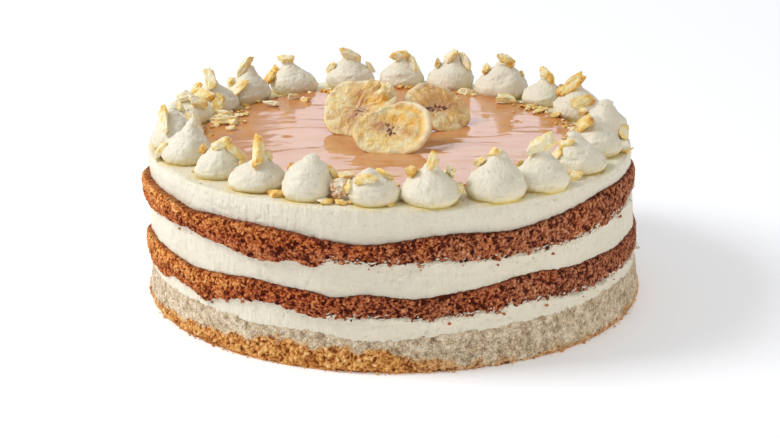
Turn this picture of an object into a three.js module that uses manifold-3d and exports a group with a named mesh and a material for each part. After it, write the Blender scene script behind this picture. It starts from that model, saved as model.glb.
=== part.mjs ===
// Banana cream pie cake: a round layer cake of blond sponge, cream and brown sponge, with a
// pool of caramel on top, a ring of piped cream dollops, chopped nuts and dried banana slices.
// Millimetres, +Z up, origin at the middle of the underside.

import * as THREE from 'three';
import { mergeVertices } from 'three/addons/utils/BufferGeometryUtils.js';
import Module from 'manifold-3d';

const wasm = await Module();
wasm.setup();

// Driving dimensions of the cake
const CAKE_HEIGHT = 71.6;
const BASE_RADIUS = 114.3;
const TOP_RADIUS = 112;
const TOP_SHIFT_X = -2.8;
const RIM_WIDTH = 6;
const GAP = 0.3;
const CUT_CLEARANCE = 0.4;
const BAND_SEGMENTS = 104;

// Driving dimensions of the caramel pool
const CARAMEL_RADIUS = 88.5;
const CARAMEL_DEPTH = 1.7;
const CARAMEL_RIPPLE = 0.35;
const CARAMEL_SEGMENTS = 44;
const CARAMEL_EDGE = 0.9;
const CARAMEL_WANDER = [[4, 0.008, 1], [9, 0.005, 0]];
const RIPPLE_COUNT = 5;
const RIPPLE_LENGTH = 9;

// Driving dimensions of a piped dollop, as shares of its girth or its rise
const DOLLOP_SEGMENTS = 13;
const DOLLOP_FOOT = 0.88;
const DOLLOP_BELLY = 0.2;
const DOLLOP_TAPER = 0.92;
const DOLLOP_OVAL = 0.02;
const DOLLOP_TRILOBE = 0.012;
const DOLLOP_LEVELS = [0, 0.08, 0.22, 0.44, 0.64, 0.81, 0.94];

// Driving dimensions of a banana slice
const SLICE_THICKNESS = 3.4;
const SLICE_SEGMENTS = 24;
const SLICE_RING = 0.5;
const SLICE_SHOULDER = 0.87;
const SLICE_LEVEL = 0.4;
const SLICE_WARP_START = 30;

// Shape of a chopped nut, as shares of its length
const NUT_WIDTH = 0.86;
const NUT_SLIMMING = 0.034;
const NUT_THICKNESS = 0.48;
const NUT_ROUGHNESS = 0.16;
const NUT_PROUD = 0.12;
const NUT_LYING = 0.28;
const NUT_STAND = 0.2;
const NUT_HOLD = 0.15;
const NUT_CLEARANCE = 0.25;

// Where the number seeds of each set of nuts start
const SEED_ON_CREAM = 40;
const SEED_ON_CARAMEL = 60;
const SEED_ON_DOLLOPS = 100;

// Bearings between which the bands are drawn in level with each other, and over how far
const DRAWN_IN = { from: 128, to: 184, fade: 6 };

// Where one band meets the next: its level, and its swells as [bearing, rise, spread]
const UNDERSIDE = { level: 0, swells: [] };
const SPONGE_TOP = {
  level: 17.9,
  swells: [[-94, -3.6, 14], [-121, -1.4, 8], [-35, 0.6, 15], [-104, 0.8, 3], [70, -1.6, 22], [160, 1, 18]],
};
const LOWER_CAKE_UNDERSIDE = {
  level: 24.4,
  swells: [
    [-158, -3.2, 10], [-147, 1.6, 3], [-136, -3.6, 6], [-119, 2.8, 9], [-106, -1.4, 4],
    [-82, -1.2, 5], [-60, 2, 6], [-42, -0.8, 5], [40, 1.8, 16], [100, -2, 12], [140, 1.6, 9],
  ],
};
const LOWER_CAKE_TOP = {
  level: 34.9,
  swells: [
    [-140, -1.4, 7], [-121, 1.4, 6], [-102, -2.2, 4], [-85, -2, 7], [-58, 3.9, 11], [-38, 2, 8],
    [-20, 1.4, 8], [50, -1.4, 20], [85, 2, 12], [150, -1, 15], [-176, -1.6, 8],
  ],
};
const UPPER_CAKE_UNDERSIDE = {
  level: 50.3,
  swells: [
    [-141, 0.8, 6], [-118, -4.2, 10], [-106.5, -3, 2.8], [-92, -1.6, 9], [-62, -2.6, 24],
    [-12, 3.6, 10], [45, -1.6, 18], [95, 1.8, 14], [150, -1.2, 12],
  ],
};
const UPPER_CAKE_TOP = {
  level: 60.9,
  swells: [
    [-140, -1.4, 6], [-96, -4.6, 13], [-63, -2, 9], [-34, 3.6, 12], [-16, 3, 10], [30, 1.4, 18],
    [90, -1.8, 20], [140, 1.6, 14],
  ],
};
const RIM = { level: CAKE_HEIGHT, swells: [] };

// The bands from the bottom up; a side point is [height share, how far it stands out]
const CREAM_SIDE = [[0, -0.5], [0.5, 0], [1, -0.5]];
const CAKE_SIDE = [[0, -0.7], [0.5, 0.6], [1, -0.5]];
const CREAM_COLOR = 0xf0ecdf;
const BROWN_SPONGE_COLOR = 0xa4562c;
const BANDS = [
  {
    name: 'cake_base',
    below: UNDERSIDE,
    above: SPONGE_TOP,
    side: [[0, -0.6], [0.14, 0.9], [0.42, 0.5], [1, -0.3]],
    outset: 0.2,
    crag: 0.45,
    color: 0xb9a68a,
    roughness: 0.95,
  },
  {
    name: 'cream_lower',
    below: SPONGE_TOP,
    above: LOWER_CAKE_UNDERSIDE,
    side: CREAM_SIDE,
    outset: -0.2,
    crag: 0.12,
    color: CREAM_COLOR,
    roughness: 0.5,
  },
  {
    name: 'cake_lower',
    below: LOWER_CAKE_UNDERSIDE,
    above: LOWER_CAKE_TOP,
    side: CAKE_SIDE,
    outset: 1.3,
    shift: -0.6,
    crag: 0.5,
    color: BROWN_SPONGE_COLOR,
    roughness: 0.95,
  },
  {
    name: 'cream_middle',
    below: LOWER_CAKE_TOP,
    above: UPPER_CAKE_UNDERSIDE,
    side: CREAM_SIDE,
    outset: -0.1,
    crag: 0.12,
    color: CREAM_COLOR,
    roughness: 0.5,
  },
  {
    name: 'cake_upper',
    below: UPPER_CAKE_UNDERSIDE,
    above: UPPER_CAKE_TOP,
    side: CAKE_SIDE,
    outset: 1.9,
    shift: -1,
    crag: 0.5,
    color: BROWN_SPONGE_COLOR,
    roughness: 0.95,
  },
  {
    name: 'cream_top',
    below: UPPER_CAKE_TOP,
    above: RIM,
    side: [[0, -0.5], [0.55, 0.1], [0.9, -0.1], [1, -1.7]],
    outset: 0,
    crag: 0.12,
    color: CREAM_COLOR,
    roughness: 0.5,
  },
];

// The dollops round the top: bearing and reach of the foot, girth (radius), rise, how full the
// shoulder is, where the tip leans to, and the nuts on it as [bearing, climb, length, lean, face]
const DOLLOPS = [
  {
    bearing: -140.3, reach: 96.8, girth: 10.4, rise: 16.6, shoulder: 1.8, tip: [4, 0.5],
    nuts: [[150, 0.6, 9, 25], [-112, 0.86, 7.5, 30], [-28, 0.66, 8.5, 115], [-10, 0.4, 8, 10]],
  },
  {
    bearing: -125.4, reach: 97, girth: 12.2, rise: 14.6, shoulder: 1.7, tip: [2.8, 0.5],
    nuts: [[-150, 0.95, 12.5, 128], [0, 0.9, 5, 60]],
  },
  {
    bearing: -110.1, reach: 98.5, girth: 11.5, rise: 17.6, shoulder: 2.1, tip: [1.6, 0.6],
    nuts: [[140, 0.62, 6.5, 20], [0, 0.58, 5.5, 60], [-14, 0.32, 5.5, 70]],
  },
  {
    bearing: -93.8, reach: 100, girth: 10.5, rise: 13.8, shoulder: 2.3, tip: [-1.4, 0.4],
    nuts: [[-112, 0.8, 8.5, 15], [-172, 0.5, 8, 10], [40, 0.7, 7, 0]],
  },
  {
    bearing: -80.1, reach: 100, girth: 12.9, rise: 16.2, shoulder: 1.5, tip: [0.8, 0],
    nuts: [[-90, 0.97, 8.5, 75], [150, 0.6, 13.5, 35], [30, 0.6, 13, -38], [-3, 0.35, 6.5, 10]],
  },
  {
    bearing: -63.8, reach: 101.4, girth: 12.9, rise: 19.4, shoulder: 1.6, tip: [2, 0.6],
    nuts: [[-165, 0.94, 6.5, 30], [165, 0.68, 7, 40]],
  },
  {
    bearing: -50.6, reach: 102, girth: 11.7, rise: 17.4, shoulder: 1.6, tip: [0.6, 0],
    nuts: [[-130, 0.97, 12.5, 42], [165, 0.55, 5.5, 30]],
  },
  {
    bearing: -32.2, reach: 98.5, girth: 12.4, rise: 16.4, shoulder: 1.5, tip: [-2.4, 0.8],
    nuts: [[-140, 0.74, 7, 20], [-150, 0.45, 6, 60]],
  },
  {
    bearing: -15.5, reach: 97.6, girth: 12.2, rise: 16.6, shoulder: 1.7, tip: [-1.5, 0],
    nuts: [[-150, 0.8, 9.5, 50], [175, 0.5, 10, 10], [150, 0.72, 7, 40]],
  },
  {
    bearing: 3, reach: 100.2, girth: 11.9, rise: 16.4, shoulder: 1.9, tip: [1, -1],
    nuts: [[160, 0.55, 8, 40], [-40, 0.2, 7.5, 30]],
  },
  {
    bearing: 22.5, reach: 98.8, girth: 12.3, rise: 15.8, shoulder: 1.7, tip: [-0.5, 1],
    nuts: [[-140, 0.95, 11.5, 65], [-84, 0.55, 9.5, 20], [175, 0.75, 7.5, 0]],
  },
  {
    bearing: 39.2, reach: 98.6, girth: 10.6, rise: 13.6, shoulder: 1.5, tip: [2.2, 1],
    nuts: [[-90, 0.96, 9.5, -45], [-20, 0.45, 9, 20]],
  },
  {
    bearing: 54.3, reach: 97.5, girth: 13.6, rise: 17.6, shoulder: 1.7, tip: [0.8, 0],
    nuts: [[-40, 0.93, 10.5, -55], [170, 0.7, 8, 20], [0, 0.6, 5, 20]],
  },
  {
    bearing: 71.6, reach: 99.4, girth: 12, rise: 17.4, shoulder: 1.9, tip: [3.4, 0.6],
    nuts: [[168, 0.68, 9, 15], [-140, 0.92, 8, 60], [-22, 0.8, 9, 80]],
  },
  {
    bearing: 86.4, reach: 99, girth: 11.4, rise: 15.4, shoulder: 1.6, tip: [-0.4, 0],
    nuts: [[-90, 0.97, 9.5, 8, 70], [-10, 0.72, 8.5, 60]],
  },
  {
    bearing: 101.4, reach: 99.5, girth: 12.5, rise: 15.8, shoulder: 1.9, tip: [-1.4, 0.4],
    nuts: [[-50, 0.96, 10.5, -40], [178, 0.6, 7.5, 60], [0, 0.55, 6.5, 60]],
  },
  {
    bearing: 119, reach: 99.6, girth: 11.8, rise: 16.6, shoulder: 1.7, tip: [-4, 0.5],
    nuts: [[-110, 0.97, 8, 10, 65], [-175, 0.48, 11, -40]],
  },
  {
    bearing: 136, reach: 99.2, girth: 11.6, rise: 17.4, shoulder: 1.5, tip: [2, 0.5],
    nuts: [[-170, 0.55, 9, 0], [-110, 0.45, 8.5, 30], [-160, 0.92, 10.5, 100]],
  },
  {
    bearing: 150.4, reach: 98.6, girth: 11.7, rise: 15.2, shoulder: 1.8, tip: [-1.5, 0.4],
    nuts: [[-112, 0.62, 9, -10], [-72, 0.38, 9, 60], [-90, 0.95, 10.5, 100], [165, 0.62, 8, 40]],
  },
  {
    bearing: 163.4, reach: 98.8, girth: 10.7, rise: 14.8, shoulder: 1.8, tip: [-3, 0.5],
    nuts: [[-100, 0.85, 7.5, 20], [-45, 0.7, 9, -30], [-128, 0.38, 9.5, -25]],
  },
  {
    bearing: 176, reach: 98.8, girth: 10.8, rise: 13.6, shoulder: 1.8, tip: [-2.5, 0],
    nuts: [[-30, 0.5, 9.5, 80], [-100, 0.62, 9, 130], [0, 0.9, 6, 30]],
  },
  {
    bearing: -171, reach: 99.4, girth: 11, rise: 16.4, shoulder: 1.7, tip: [-1, 0.6],
    nuts: [[-120, 0.72, 12, 120], [60, 0.6, 7, 40]],
  },
  {
    bearing: -156.6, reach: 98.6, girth: 11.1, rise: 18.6, shoulder: 1.5, tip: [3.4, 0.8],
    nuts: [[180, 0.24, 9.5, 85], [70, 0.6, 8, 20]],
  },
];

// Nuts that lie on the top cream and on the caramel, as [x, y, length, turn]
const NUTS_ON_CREAM = [
  [-50.2, -92.6, 6.8, 20], [-28.5, -103.2, 6, 40], [-23, -104.6, 5.4, -20], [-2, -106.6, 4, 60],
  [78.4, -67.6, 8, 70], [-106.2, -34.6, 5.5, 60], [104.6, -25.6, 7, 30],
];
const NUTS_ON_CARAMEL = [
  [-60.4, 50.6, 8, -10], [-51, 64.6, 6.2, 15], [-44.6, 60.3, 5.6, -40], [36.2, 73.6, 8, 15],
  [55.4, 57.6, 9.5, 10], [-81.6, 19.4, 10.5, 20], [72.5, 41.4, 5, 0], [66.4, 46.4, 4.4, 50],
  [-33.6, 79.6, 4.4, 30], [-77.4, 6.4, 4.6, 0], [-21, -72, 7, 10],
];

// The banana slices: middle of the foot, way it faces, slope above the level, radius, how
// far up its middle lies from the foot, and its outline as [lobes, share, bearing]
const SLICES = [
  {
    foot: [-1.9, -34.4], facing: -91, slope: 34, radius: 16.7, middle: 14.8, cup: 1.4,
    outline: [[1, 0.135, -38], [2, 0.125, 27], [3, 0.07, 73], [4, 0.02, 42]],
  },
  {
    foot: [-20.2, -4.8], facing: -104, slope: 36, radius: 17.6, middle: 16.2, cup: 1.1,
    outline: [[1, 0.05, 45], [3, 0.03, 50], [4, 0.04, 48], [7, 0.02, 20]],
  },
  {
    foot: [24.6, 6.5], facing: -62, slope: 38, radius: 15.4, middle: 12.8, cup: -1,
    outline: [[2, 0.08, 155], [3, 0.02, 100], [6, 0.02, 40]],
  },
];

const topCentre = new THREE.Vector3(TOP_SHIFT_X, 0, CAKE_HEIGHT);

// A repeatable source of numbers from 0 to 1
function seededNumbers(seed) {
  let state = seed;
  return () => {
    state = (Math.imul(state, 1664525) + 1013904223) >>> 0;
    return state / 2 ** 32;
  };
}

// Shared vertices only, with no doubled corner left in any face
function weld(geometry) {
  geometry.deleteAttribute('normal');
  geometry.deleteAttribute('uv');
  const merged = mergeVertices(geometry, 1e-4);
  const faces = [];
  for (let i = 0; i < merged.index.count; i += 3) {
    const [a, b, c] = [0, 1, 2].map((k) => merged.index.getX(i + k));
    if (a !== b && b !== c && c !== a) faces.push(a, b, c);
  }
  merged.setIndex(faces);
  return merged;
}

// A welded body of revolution about Z from a profile of [radius, height] points
function turned(profile, segments) {
  const points = profile.map(([radius, height]) => new THREE.Vector2(radius, height));
  return weld(new THREE.LatheGeometry(points, segments).rotateX(Math.PI / 2));
}

// Moves every vertex of a geometry by a rule that changes the point it is given
function reshape(geometry, rule) {
  const positions = geometry.attributes.position;
  const point = new THREE.Vector3();
  for (let i = 0; i < positions.count; i += 1) {
    point.fromBufferAttribute(positions, i);
    rule(point, i);
    positions.setXYZ(i, point.x, point.y, point.z);
  }
  return geometry;
}

function toSolid(geometry) {
  const vertProperties = Float32Array.from(geometry.attributes.position.array);
  const triVerts = Uint32Array.from(geometry.index.array);
  return new wasm.Manifold(new wasm.Mesh({ numProp: 3, vertProperties, triVerts }));
}

function toGeometry(solid) {
  const mesh = solid.simplify(0.02).getMesh();
  const geometry = new THREE.BufferGeometry();
  geometry.setAttribute('position', new THREE.BufferAttribute(mesh.vertProperties, 3));
  geometry.setIndex(new THREE.BufferAttribute(mesh.triVerts, 1));
  geometry.computeVertexNormals();
  return geometry;
}

// Height of a boundary at a bearing in degrees
function boundaryHeight(boundary, bearing) {
  let height = boundary.level;
  for (const [at, rise, spread] of boundary.swells) {
    const away = THREE.MathUtils.euclideanModulo(bearing - at + 180, 360) - 180;
    height += rise * Math.exp(-((away / spread) ** 2));
  }
  return height;
}

// How far a band is drawn in at a bearing, so that it lies level with the plain form there
function drawnIn(band, bearing) {
  const around = THREE.MathUtils.euclideanModulo(bearing, 360);
  const { smoothstep } = THREE.MathUtils;
  const { from, to, fade } = DRAWN_IN;
  const share = smoothstep(around, from - fade, from) - smoothstep(around, to, to + fade);
  return share * (band.outset - (band.shift ?? 0));
}

// A band that runs through the whole cake, between two wavy boundaries
function bandGeometry(band, seed) {
  const lowest = band.below === UNDERSIDE ? 0 : GAP / 2;
  const highest = band.above === RIM ? 0 : GAP / 2;
  const rim = BASE_RADIUS + band.outset;
  const side = band.side.map(([share, out]) => [rim + out, share]);
  const inner = band.above === RIM ? [[rim - RIM_WIDTH, 1]] : [];
  const number = seededNumbers(seed);
  const geometry = turned([[0, 0], ...side, ...inner, [0, 1]], BAND_SEGMENTS);
  return reshape(geometry, (point) => {
    const radius = Math.hypot(point.x, point.y);
    const bearing = THREE.MathUtils.radToDeg(Math.atan2(point.y, point.x));
    const reach = Math.min(1, radius / rim);
    const { lerp } = THREE.MathUtils;
    const below = lerp(band.below.level, boundaryHeight(band.below, bearing), reach) + lowest;
    const above = lerp(band.above.level, boundaryHeight(band.above, bearing), reach) - highest;
    const height = lerp(below, above, point.z);
    const climb = height / CAKE_HEIGHT;
    const crag = (number() * 2 - 1) * band.crag;
    const onSide = radius > rim - RIM_WIDTH / 2;
    const taper = onSide ? (TOP_RADIUS - BASE_RADIUS) * climb - drawnIn(band, bearing) + crag : 0;
    const scale = radius > 0 ? (radius + taper) / radius : 0;
    const shift = TOP_SHIFT_X * climb + (band.shift ?? 0);
    point.set(point.x * scale + shift, point.y * scale, height);
  });
}

// Radius of a dollop at a share of its rise, as a share of its girth
function dollopGirth(dollop, climb) {
  if (climb < DOLLOP_BELLY) {
    return DOLLOP_FOOT + (1 - DOLLOP_FOOT) * Math.sin((Math.PI / 2) * (climb / DOLLOP_BELLY));
  }
  const above = (climb - DOLLOP_BELLY) / (1 - DOLLOP_BELLY);
  return (1 - above ** dollop.shoulder) ** DOLLOP_TAPER;
}

function dollopFoot(dollop) {
  const angle = THREE.MathUtils.degToRad(dollop.bearing);
  const foot = topCentre.clone();
  foot.x += dollop.reach * Math.cos(angle);
  foot.y += dollop.reach * Math.sin(angle);
  foot.z += GAP;
  return foot;
}

// A point on the axis of a dollop, which bends towards its leaning tip
function dollopAxis(dollop, climb) {
  const point = dollopFoot(dollop);
  point.x += dollop.tip[0] * climb ** 2;
  point.y += dollop.tip[1] * climb ** 2;
  point.z += dollop.rise * climb;
  return point;
}

// A piped dollop, drop-shaped and slightly out of round, grown all over by a margin
function dollopGeometry(dollop, margin = 0) {
  const profile = DOLLOP_LEVELS.map((climb) => [dollop.girth * dollopGirth(dollop, climb) + margin, climb]);
  const geometry = turned([[0, 0], ...profile, [0, 1]], DOLLOP_SEGMENTS);
  return reshape(geometry, (point) => {
    const bearing = Math.atan2(point.y, point.x);
    const lobe = 1 + DOLLOP_OVAL * Math.cos(2 * bearing + dollop.bearing)
      + DOLLOP_TRILOBE * Math.cos(3 * bearing + dollop.reach);
    const axis = dollopAxis(dollop, point.z);
    const lift = point.z === 0 ? -margin : point.z * margin;
    point.set(axis.x + point.x * lobe, axis.y + point.y * lobe, axis.z + lift);
  });
}

// A chopped nut: an irregular chunk lying along X, with its flat side facing +Z
function nutGeometry(length, seed) {
  const number = seededNumbers(seed);
  const chunk = weld(new THREE.IcosahedronGeometry(0.5, 0));
  return reshape(chunk, (point) => {
    const swell = 1 + (number() * 2 - 1) * NUT_ROUGHNESS;
    point.multiplyScalar(swell * length);
    point.y *= NUT_WIDTH - NUT_SLIMMING * length;
    point.z *= NUT_THICKNESS;
  });
}

// The turn that lays X along one direction and Z as near as can be to another
function turnTo(along, facing) {
  const across = new THREE.Vector3().crossVectors(facing, along).normalize();
  const out = new THREE.Vector3().crossVectors(along, across);
  return new THREE.Matrix4().makeBasis(along, across, out);
}

// A nut pressed into the side of a dollop
function nutOnDollop(dollop, [bearing, climb, length, lean, face = 35], seed) {
  const angle = THREE.MathUtils.degToRad(bearing);
  const tilt = THREE.MathUtils.degToRad(face);
  const turn = THREE.MathUtils.degToRad(lean);
  const outward = new THREE.Vector3(Math.cos(angle), Math.sin(angle), 0);
  const facing = outward.clone().multiplyScalar(Math.cos(tilt)).setZ(Math.sin(tilt));
  const side = new THREE.Vector3(-Math.sin(angle), Math.cos(angle), 0);
  const up = new THREE.Vector3().crossVectors(facing, side);
  const along = side.multiplyScalar(Math.cos(turn)).addScaledVector(up, Math.sin(turn));
  const place = dollopAxis(dollop, climb);
  place.addScaledVector(outward, dollop.girth * dollopGirth(dollop, climb));
  place.addScaledVector(facing, length * NUT_THICKNESS * NUT_PROUD);
  place.z += length * NUT_STAND * climb ** 3 * Math.abs(Math.sin(turn));
  const matrix = turnTo(along.normalize(), facing).setPosition(place);
  return toSolid(nutGeometry(length, seed).applyMatrix4(matrix));
}

// A nut lying on a level surface
function nutOnTop([x, y, length, turn], level, seed) {
  const matrix = new THREE.Matrix4().makeRotationZ(THREE.MathUtils.degToRad(turn));
  matrix.setPosition(x, y, level + length * NUT_THICKNESS * NUT_LYING);
  return toSolid(nutGeometry(length, seed).applyMatrix4(matrix));
}

function isClear(piece, others) {
  return others.every((other) => piece.minGap(other, 1) > NUT_CLEARANCE);
}

// Adds to a carrier the pieces that stay clear of what lies round it
function fuse(carrier, pieces, others) {
  let whole = carrier;
  for (const piece of pieces) {
    const isHeld = piece.intersect(carrier).volume() > NUT_HOLD;
    if (isHeld && isClear(piece, others)) whole = whole.add(piece);
  }
  return whole;
}

// A banana slice: a thin wavy disc with a rolled edge that leans back out of the caramel
function sliceSolid(slice, margin = 0) {
  const half = SLICE_THICKNESS / 2 + margin;
  const edge = 1 + margin / slice.radius;
  const profile = [
    [0, -half], [SLICE_RING, -half], [SLICE_SHOULDER, -half], [edge, 0],
    [SLICE_SHOULDER, half], [SLICE_RING, half], [0, half],
  ];
  const disc = reshape(turned(profile, SLICE_SEGMENTS), (point) => {
    const bearing = THREE.MathUtils.radToDeg(Math.atan2(point.y, point.x));
    const reach = Math.hypot(point.x, point.y);
    let share = 1;
    for (const [lobes, part, at] of slice.outline) {
      share += part * Math.cos(THREE.MathUtils.degToRad(lobes * (bearing - at)));
    }
    const warp = slice.cup * reach ** 3 * Math.cos(THREE.MathUtils.degToRad(2 * bearing + SLICE_WARP_START));
    point.x *= slice.radius * share;
    point.y *= slice.radius * share;
    point.z += warp + slice.cup * (reach ** 2 - SLICE_LEVEL);
  });
  const facing = THREE.MathUtils.degToRad(slice.facing);
  const slope = THREE.MathUtils.degToRad(slice.slope);
  const outward = new THREE.Vector3(Math.cos(facing), Math.sin(facing), 0);
  const uphill = outward.multiplyScalar(-Math.cos(slope)).setZ(Math.sin(slope));
  const across = new THREE.Vector3(-Math.sin(facing), Math.cos(facing), 0);
  const normal = new THREE.Vector3().crossVectors(across, uphill);
  const foot = new THREE.Vector3(slice.foot[0], slice.foot[1], CAKE_HEIGHT + CARAMEL_DEPTH);
  const matrix = new THREE.Matrix4().makeBasis(across, uphill, normal);
  matrix.setPosition(foot.addScaledVector(uphill, slice.middle));
  return toSolid(disc.applyMatrix4(matrix));
}

// The caramel pool before the dollops and slices press into it
function caramelSolid() {
  const bottom = GAP;
  const top = CARAMEL_DEPTH;
  const profile = [
    [0, bottom], [CARAMEL_RADIUS - 0.6, bottom], [CARAMEL_RADIUS, CARAMEL_EDGE],
    [CARAMEL_RADIUS - 2, top - 0.2], [CARAMEL_RADIUS * 0.78, top], [CARAMEL_RADIUS * 0.42, top], [0, top],
  ];
  const geometry = reshape(turned(profile, CARAMEL_SEGMENTS), (point) => {
    const bearing = Math.atan2(point.y, point.x);
    const radius = Math.hypot(point.x, point.y);
    const isTop = point.z > CARAMEL_DEPTH - 0.3 && radius > 0;
    const ripple = isTop ? CARAMEL_RIPPLE * Math.sin(RIPPLE_COUNT * bearing + radius / RIPPLE_LENGTH) : 0;
    let wander = 1;
    for (const [waves, share, start] of CARAMEL_WANDER) wander += share * Math.sin(waves * bearing + start);
    point.set(topCentre.x + point.x * wander, point.y * wander, CAKE_HEIGHT + point.z + ripple);
  });
  return toSolid(geometry);
}

// A box that takes away what would reach below a level
function groundCutter(level) {
  const size = 3 * TOP_RADIUS;
  const box = new THREE.BoxGeometry(size, size, CAKE_HEIGHT);
  return toSolid(weld(box.translate(0, 0, level - CAKE_HEIGHT / 2)));
}

function named(name, geometry, color, roughness) {
  const material = new THREE.MeshStandardMaterial({ color, roughness, metalness: 0 });
  const mesh = new THREE.Mesh(geometry, material);
  mesh.name = name;
  return mesh;
}

const cake = new THREE.Group();
const bareDollops = [];
const slices = SLICES.map((slice) => sliceSolid(slice).subtract(groundCutter(CAKE_HEIGHT + GAP)));

// The dollops before they carry nuts; one that touches an earlier one is flattened against it
DOLLOPS.forEach((dollop) => {
  let solid = toSolid(dollopGeometry(dollop));
  bareDollops.forEach((other, k) => {
    if (solid.minGap(other, 1) < GAP) {
      solid = solid.subtract(toSolid(dollopGeometry(DOLLOPS[k], GAP)));
    }
  });
  bareDollops.push(solid);
});

// Bands of cake and cream, the top one with the nuts that lie on it
BANDS.forEach((band, i) => {
  let solid = toSolid(bandGeometry(band, i + 1));
  if (band.above === RIM) {
    const nuts = NUTS_ON_CREAM.map((nut, k) => nutOnTop(nut, CAKE_HEIGHT, SEED_ON_CREAM + k));
    solid = fuse(solid, nuts, bareDollops);
  }
  cake.add(named(band.name, toGeometry(solid), band.color, band.roughness));
});

// The caramel pool, up against the dollops and round the feet of the slices
let caramel = caramelSolid();
DOLLOPS.forEach((dollop) => {
  caramel = caramel.subtract(toSolid(dollopGeometry(dollop, CUT_CLEARANCE)));
});
SLICES.forEach((slice) => {
  caramel = caramel.subtract(sliceSolid(slice, CUT_CLEARANCE));
});
const pool = caramel.decompose().sort((a, b) => b.volume() - a.volume())[0];
const nutsOnPool = NUTS_ON_CARAMEL.map((nut, k) => (
  nutOnTop(nut, CAKE_HEIGHT + CARAMEL_DEPTH, SEED_ON_CARAMEL + k)
));
const pouredTop = fuse(pool, nutsOnPool, [...bareDollops, ...slices]);
cake.add(named('caramel', toGeometry(pouredTop), 0xc98a5a, 0.15));

// The dollops, each with its own nuts, clear of the neighbours and of what lies under them
const placed = [pouredTop];
DOLLOPS.forEach((dollop, i) => {
  const neighbours = bareDollops.filter((_, k) => k !== i);
  const pieces = dollop.nuts.map((nut, k) => nutOnDollop(dollop, nut, SEED_ON_DOLLOPS + 10 * i + k));
  const whole = fuse(bareDollops[i], pieces, [...neighbours, ...placed]);
  placed.push(whole);
  const name = `dollop_${String(i + 1).padStart(2, '0')}`;
  cake.add(named(name, toGeometry(whole), CREAM_COLOR, 0.5));
});

// The banana slices
slices.forEach((slice, i) => {
  cake.add(named(`banana_slice_${i + 1}`, toGeometry(slice), 0xe3c98c, 0.6));
});

export default cake;
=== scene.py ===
"""Banana cream pie cake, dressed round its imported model.

A three-layer cake: a blond sponge foot and two brown sponge layers, filled and topped with
whipped cream, with a pool of caramel, a ring of piped cream dollops, chopped nuts and three
dried banana slices on top. Sizes are in millimetres until a mesh is made, and +Z is up.
"""

import logging
import math
from dataclasses import dataclass, field
from enum import Enum

import bpy
import numpy as np
from bpy.types import Material, Node, NodeSocket, NodeTree, Object
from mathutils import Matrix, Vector


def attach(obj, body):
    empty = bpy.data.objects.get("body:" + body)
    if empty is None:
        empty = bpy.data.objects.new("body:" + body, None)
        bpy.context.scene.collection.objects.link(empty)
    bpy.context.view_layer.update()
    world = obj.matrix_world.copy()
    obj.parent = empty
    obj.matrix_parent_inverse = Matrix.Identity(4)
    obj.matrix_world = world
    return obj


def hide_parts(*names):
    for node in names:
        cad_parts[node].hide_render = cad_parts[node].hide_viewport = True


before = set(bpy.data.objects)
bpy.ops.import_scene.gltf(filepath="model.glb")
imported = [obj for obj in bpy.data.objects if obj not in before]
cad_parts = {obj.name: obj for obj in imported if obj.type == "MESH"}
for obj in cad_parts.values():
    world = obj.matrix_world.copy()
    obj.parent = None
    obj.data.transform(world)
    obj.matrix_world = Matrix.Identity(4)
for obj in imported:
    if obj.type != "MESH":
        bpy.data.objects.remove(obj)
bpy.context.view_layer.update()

MM = 0.001
LOG = logging.getLogger("cake")
Array = np.ndarray
Ramp = tuple[tuple[float, str], ...]
Spots = tuple[tuple[float, float, float], ...]


# Repeatable noise and other small sums


def scrambled(cells: Array, seed: int) -> Array:
    """Gives each whole-numbered cell a number from 0 to 1 that is always the same.

    Args:
        cells: Whole numbers, three for each cell.
        seed: Which set of numbers to give.

    Returns:
        One number for each cell.
    """
    n = cells.astype(np.int64)
    mixed = (n[..., 0] * 73856093) ^ (n[..., 1] * 19349663) ^ (n[..., 2] * 83492791)
    mixed = (mixed ^ (seed * 2654435761)) & 0xFFFFFFFF
    for _ in range(2):
        mixed = ((mixed ^ (mixed >> 16)) * 0x45D9F3B) & 0xFFFFFFFF
    return (mixed ^ (mixed >> 16)) / 0xFFFFFFFF


def drift(points: Array, size: float, seed: int, octaves: int = 1) -> Array:
    """Smooth noise from -1 to 1.

    Args:
        points: Places in millimetres.
        size: Width of the largest swells in millimetres.
        seed: Which noise.
        octaves: How many times finer noise of half the size and half the height is added.

    Returns:
        One value for each place.
    """
    total = np.zeros(len(points))
    height = 1.0
    for octave in range(octaves):
        scaled = points * (2**octave / size) + 17.3 * octave
        base = np.floor(scaled)
        part = scaled - base
        part = part * part * (3 - 2 * part)
        value = np.zeros(len(points))
        for corner in np.ndindex(2, 2, 2):
            weight = np.prod(np.where(np.array(corner) == 1, part, 1 - part), axis=1)
            value += weight * scrambled(base + np.array(corner), seed + 31 * octave)
        total += height * (2 * value - 1)
        height *= 0.5
    return total


def bubbles(points: Array, size: float, seed: int) -> tuple[Array, Array, Array]:
    """Splits space into rounded cells, as the bubbles in a baked crumb do.

    Args:
        points: Places in millimetres.
        size: Typical width of a bubble in millimetres.
        seed: Which set of bubbles.

    Returns:
        How far each place is from the nearest bubble's middle and from the next one's, as
        shares of the size, and a number from 0 to 1 that belongs to the nearest bubble.
    """
    scaled = points / size
    base = np.floor(scaled)
    nearest = np.full(len(points), 9.0)
    second = np.full(len(points), 9.0)
    owner = np.zeros(len(points))
    for step in np.ndindex(3, 3, 3):
        cell = base + np.array(step) - 1
        middle = cell + np.stack([scrambled(cell, seed + k) for k in (1, 2, 3)], axis=1)
        away = np.linalg.norm(scaled - middle, axis=1)
        closer = away < nearest
        second = np.where(closer, nearest, np.minimum(second, away))
        owner = np.where(closer, scrambled(cell, seed + 4), owner)
        nearest = np.where(closer, away, nearest)
    return nearest, second, owner


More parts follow.
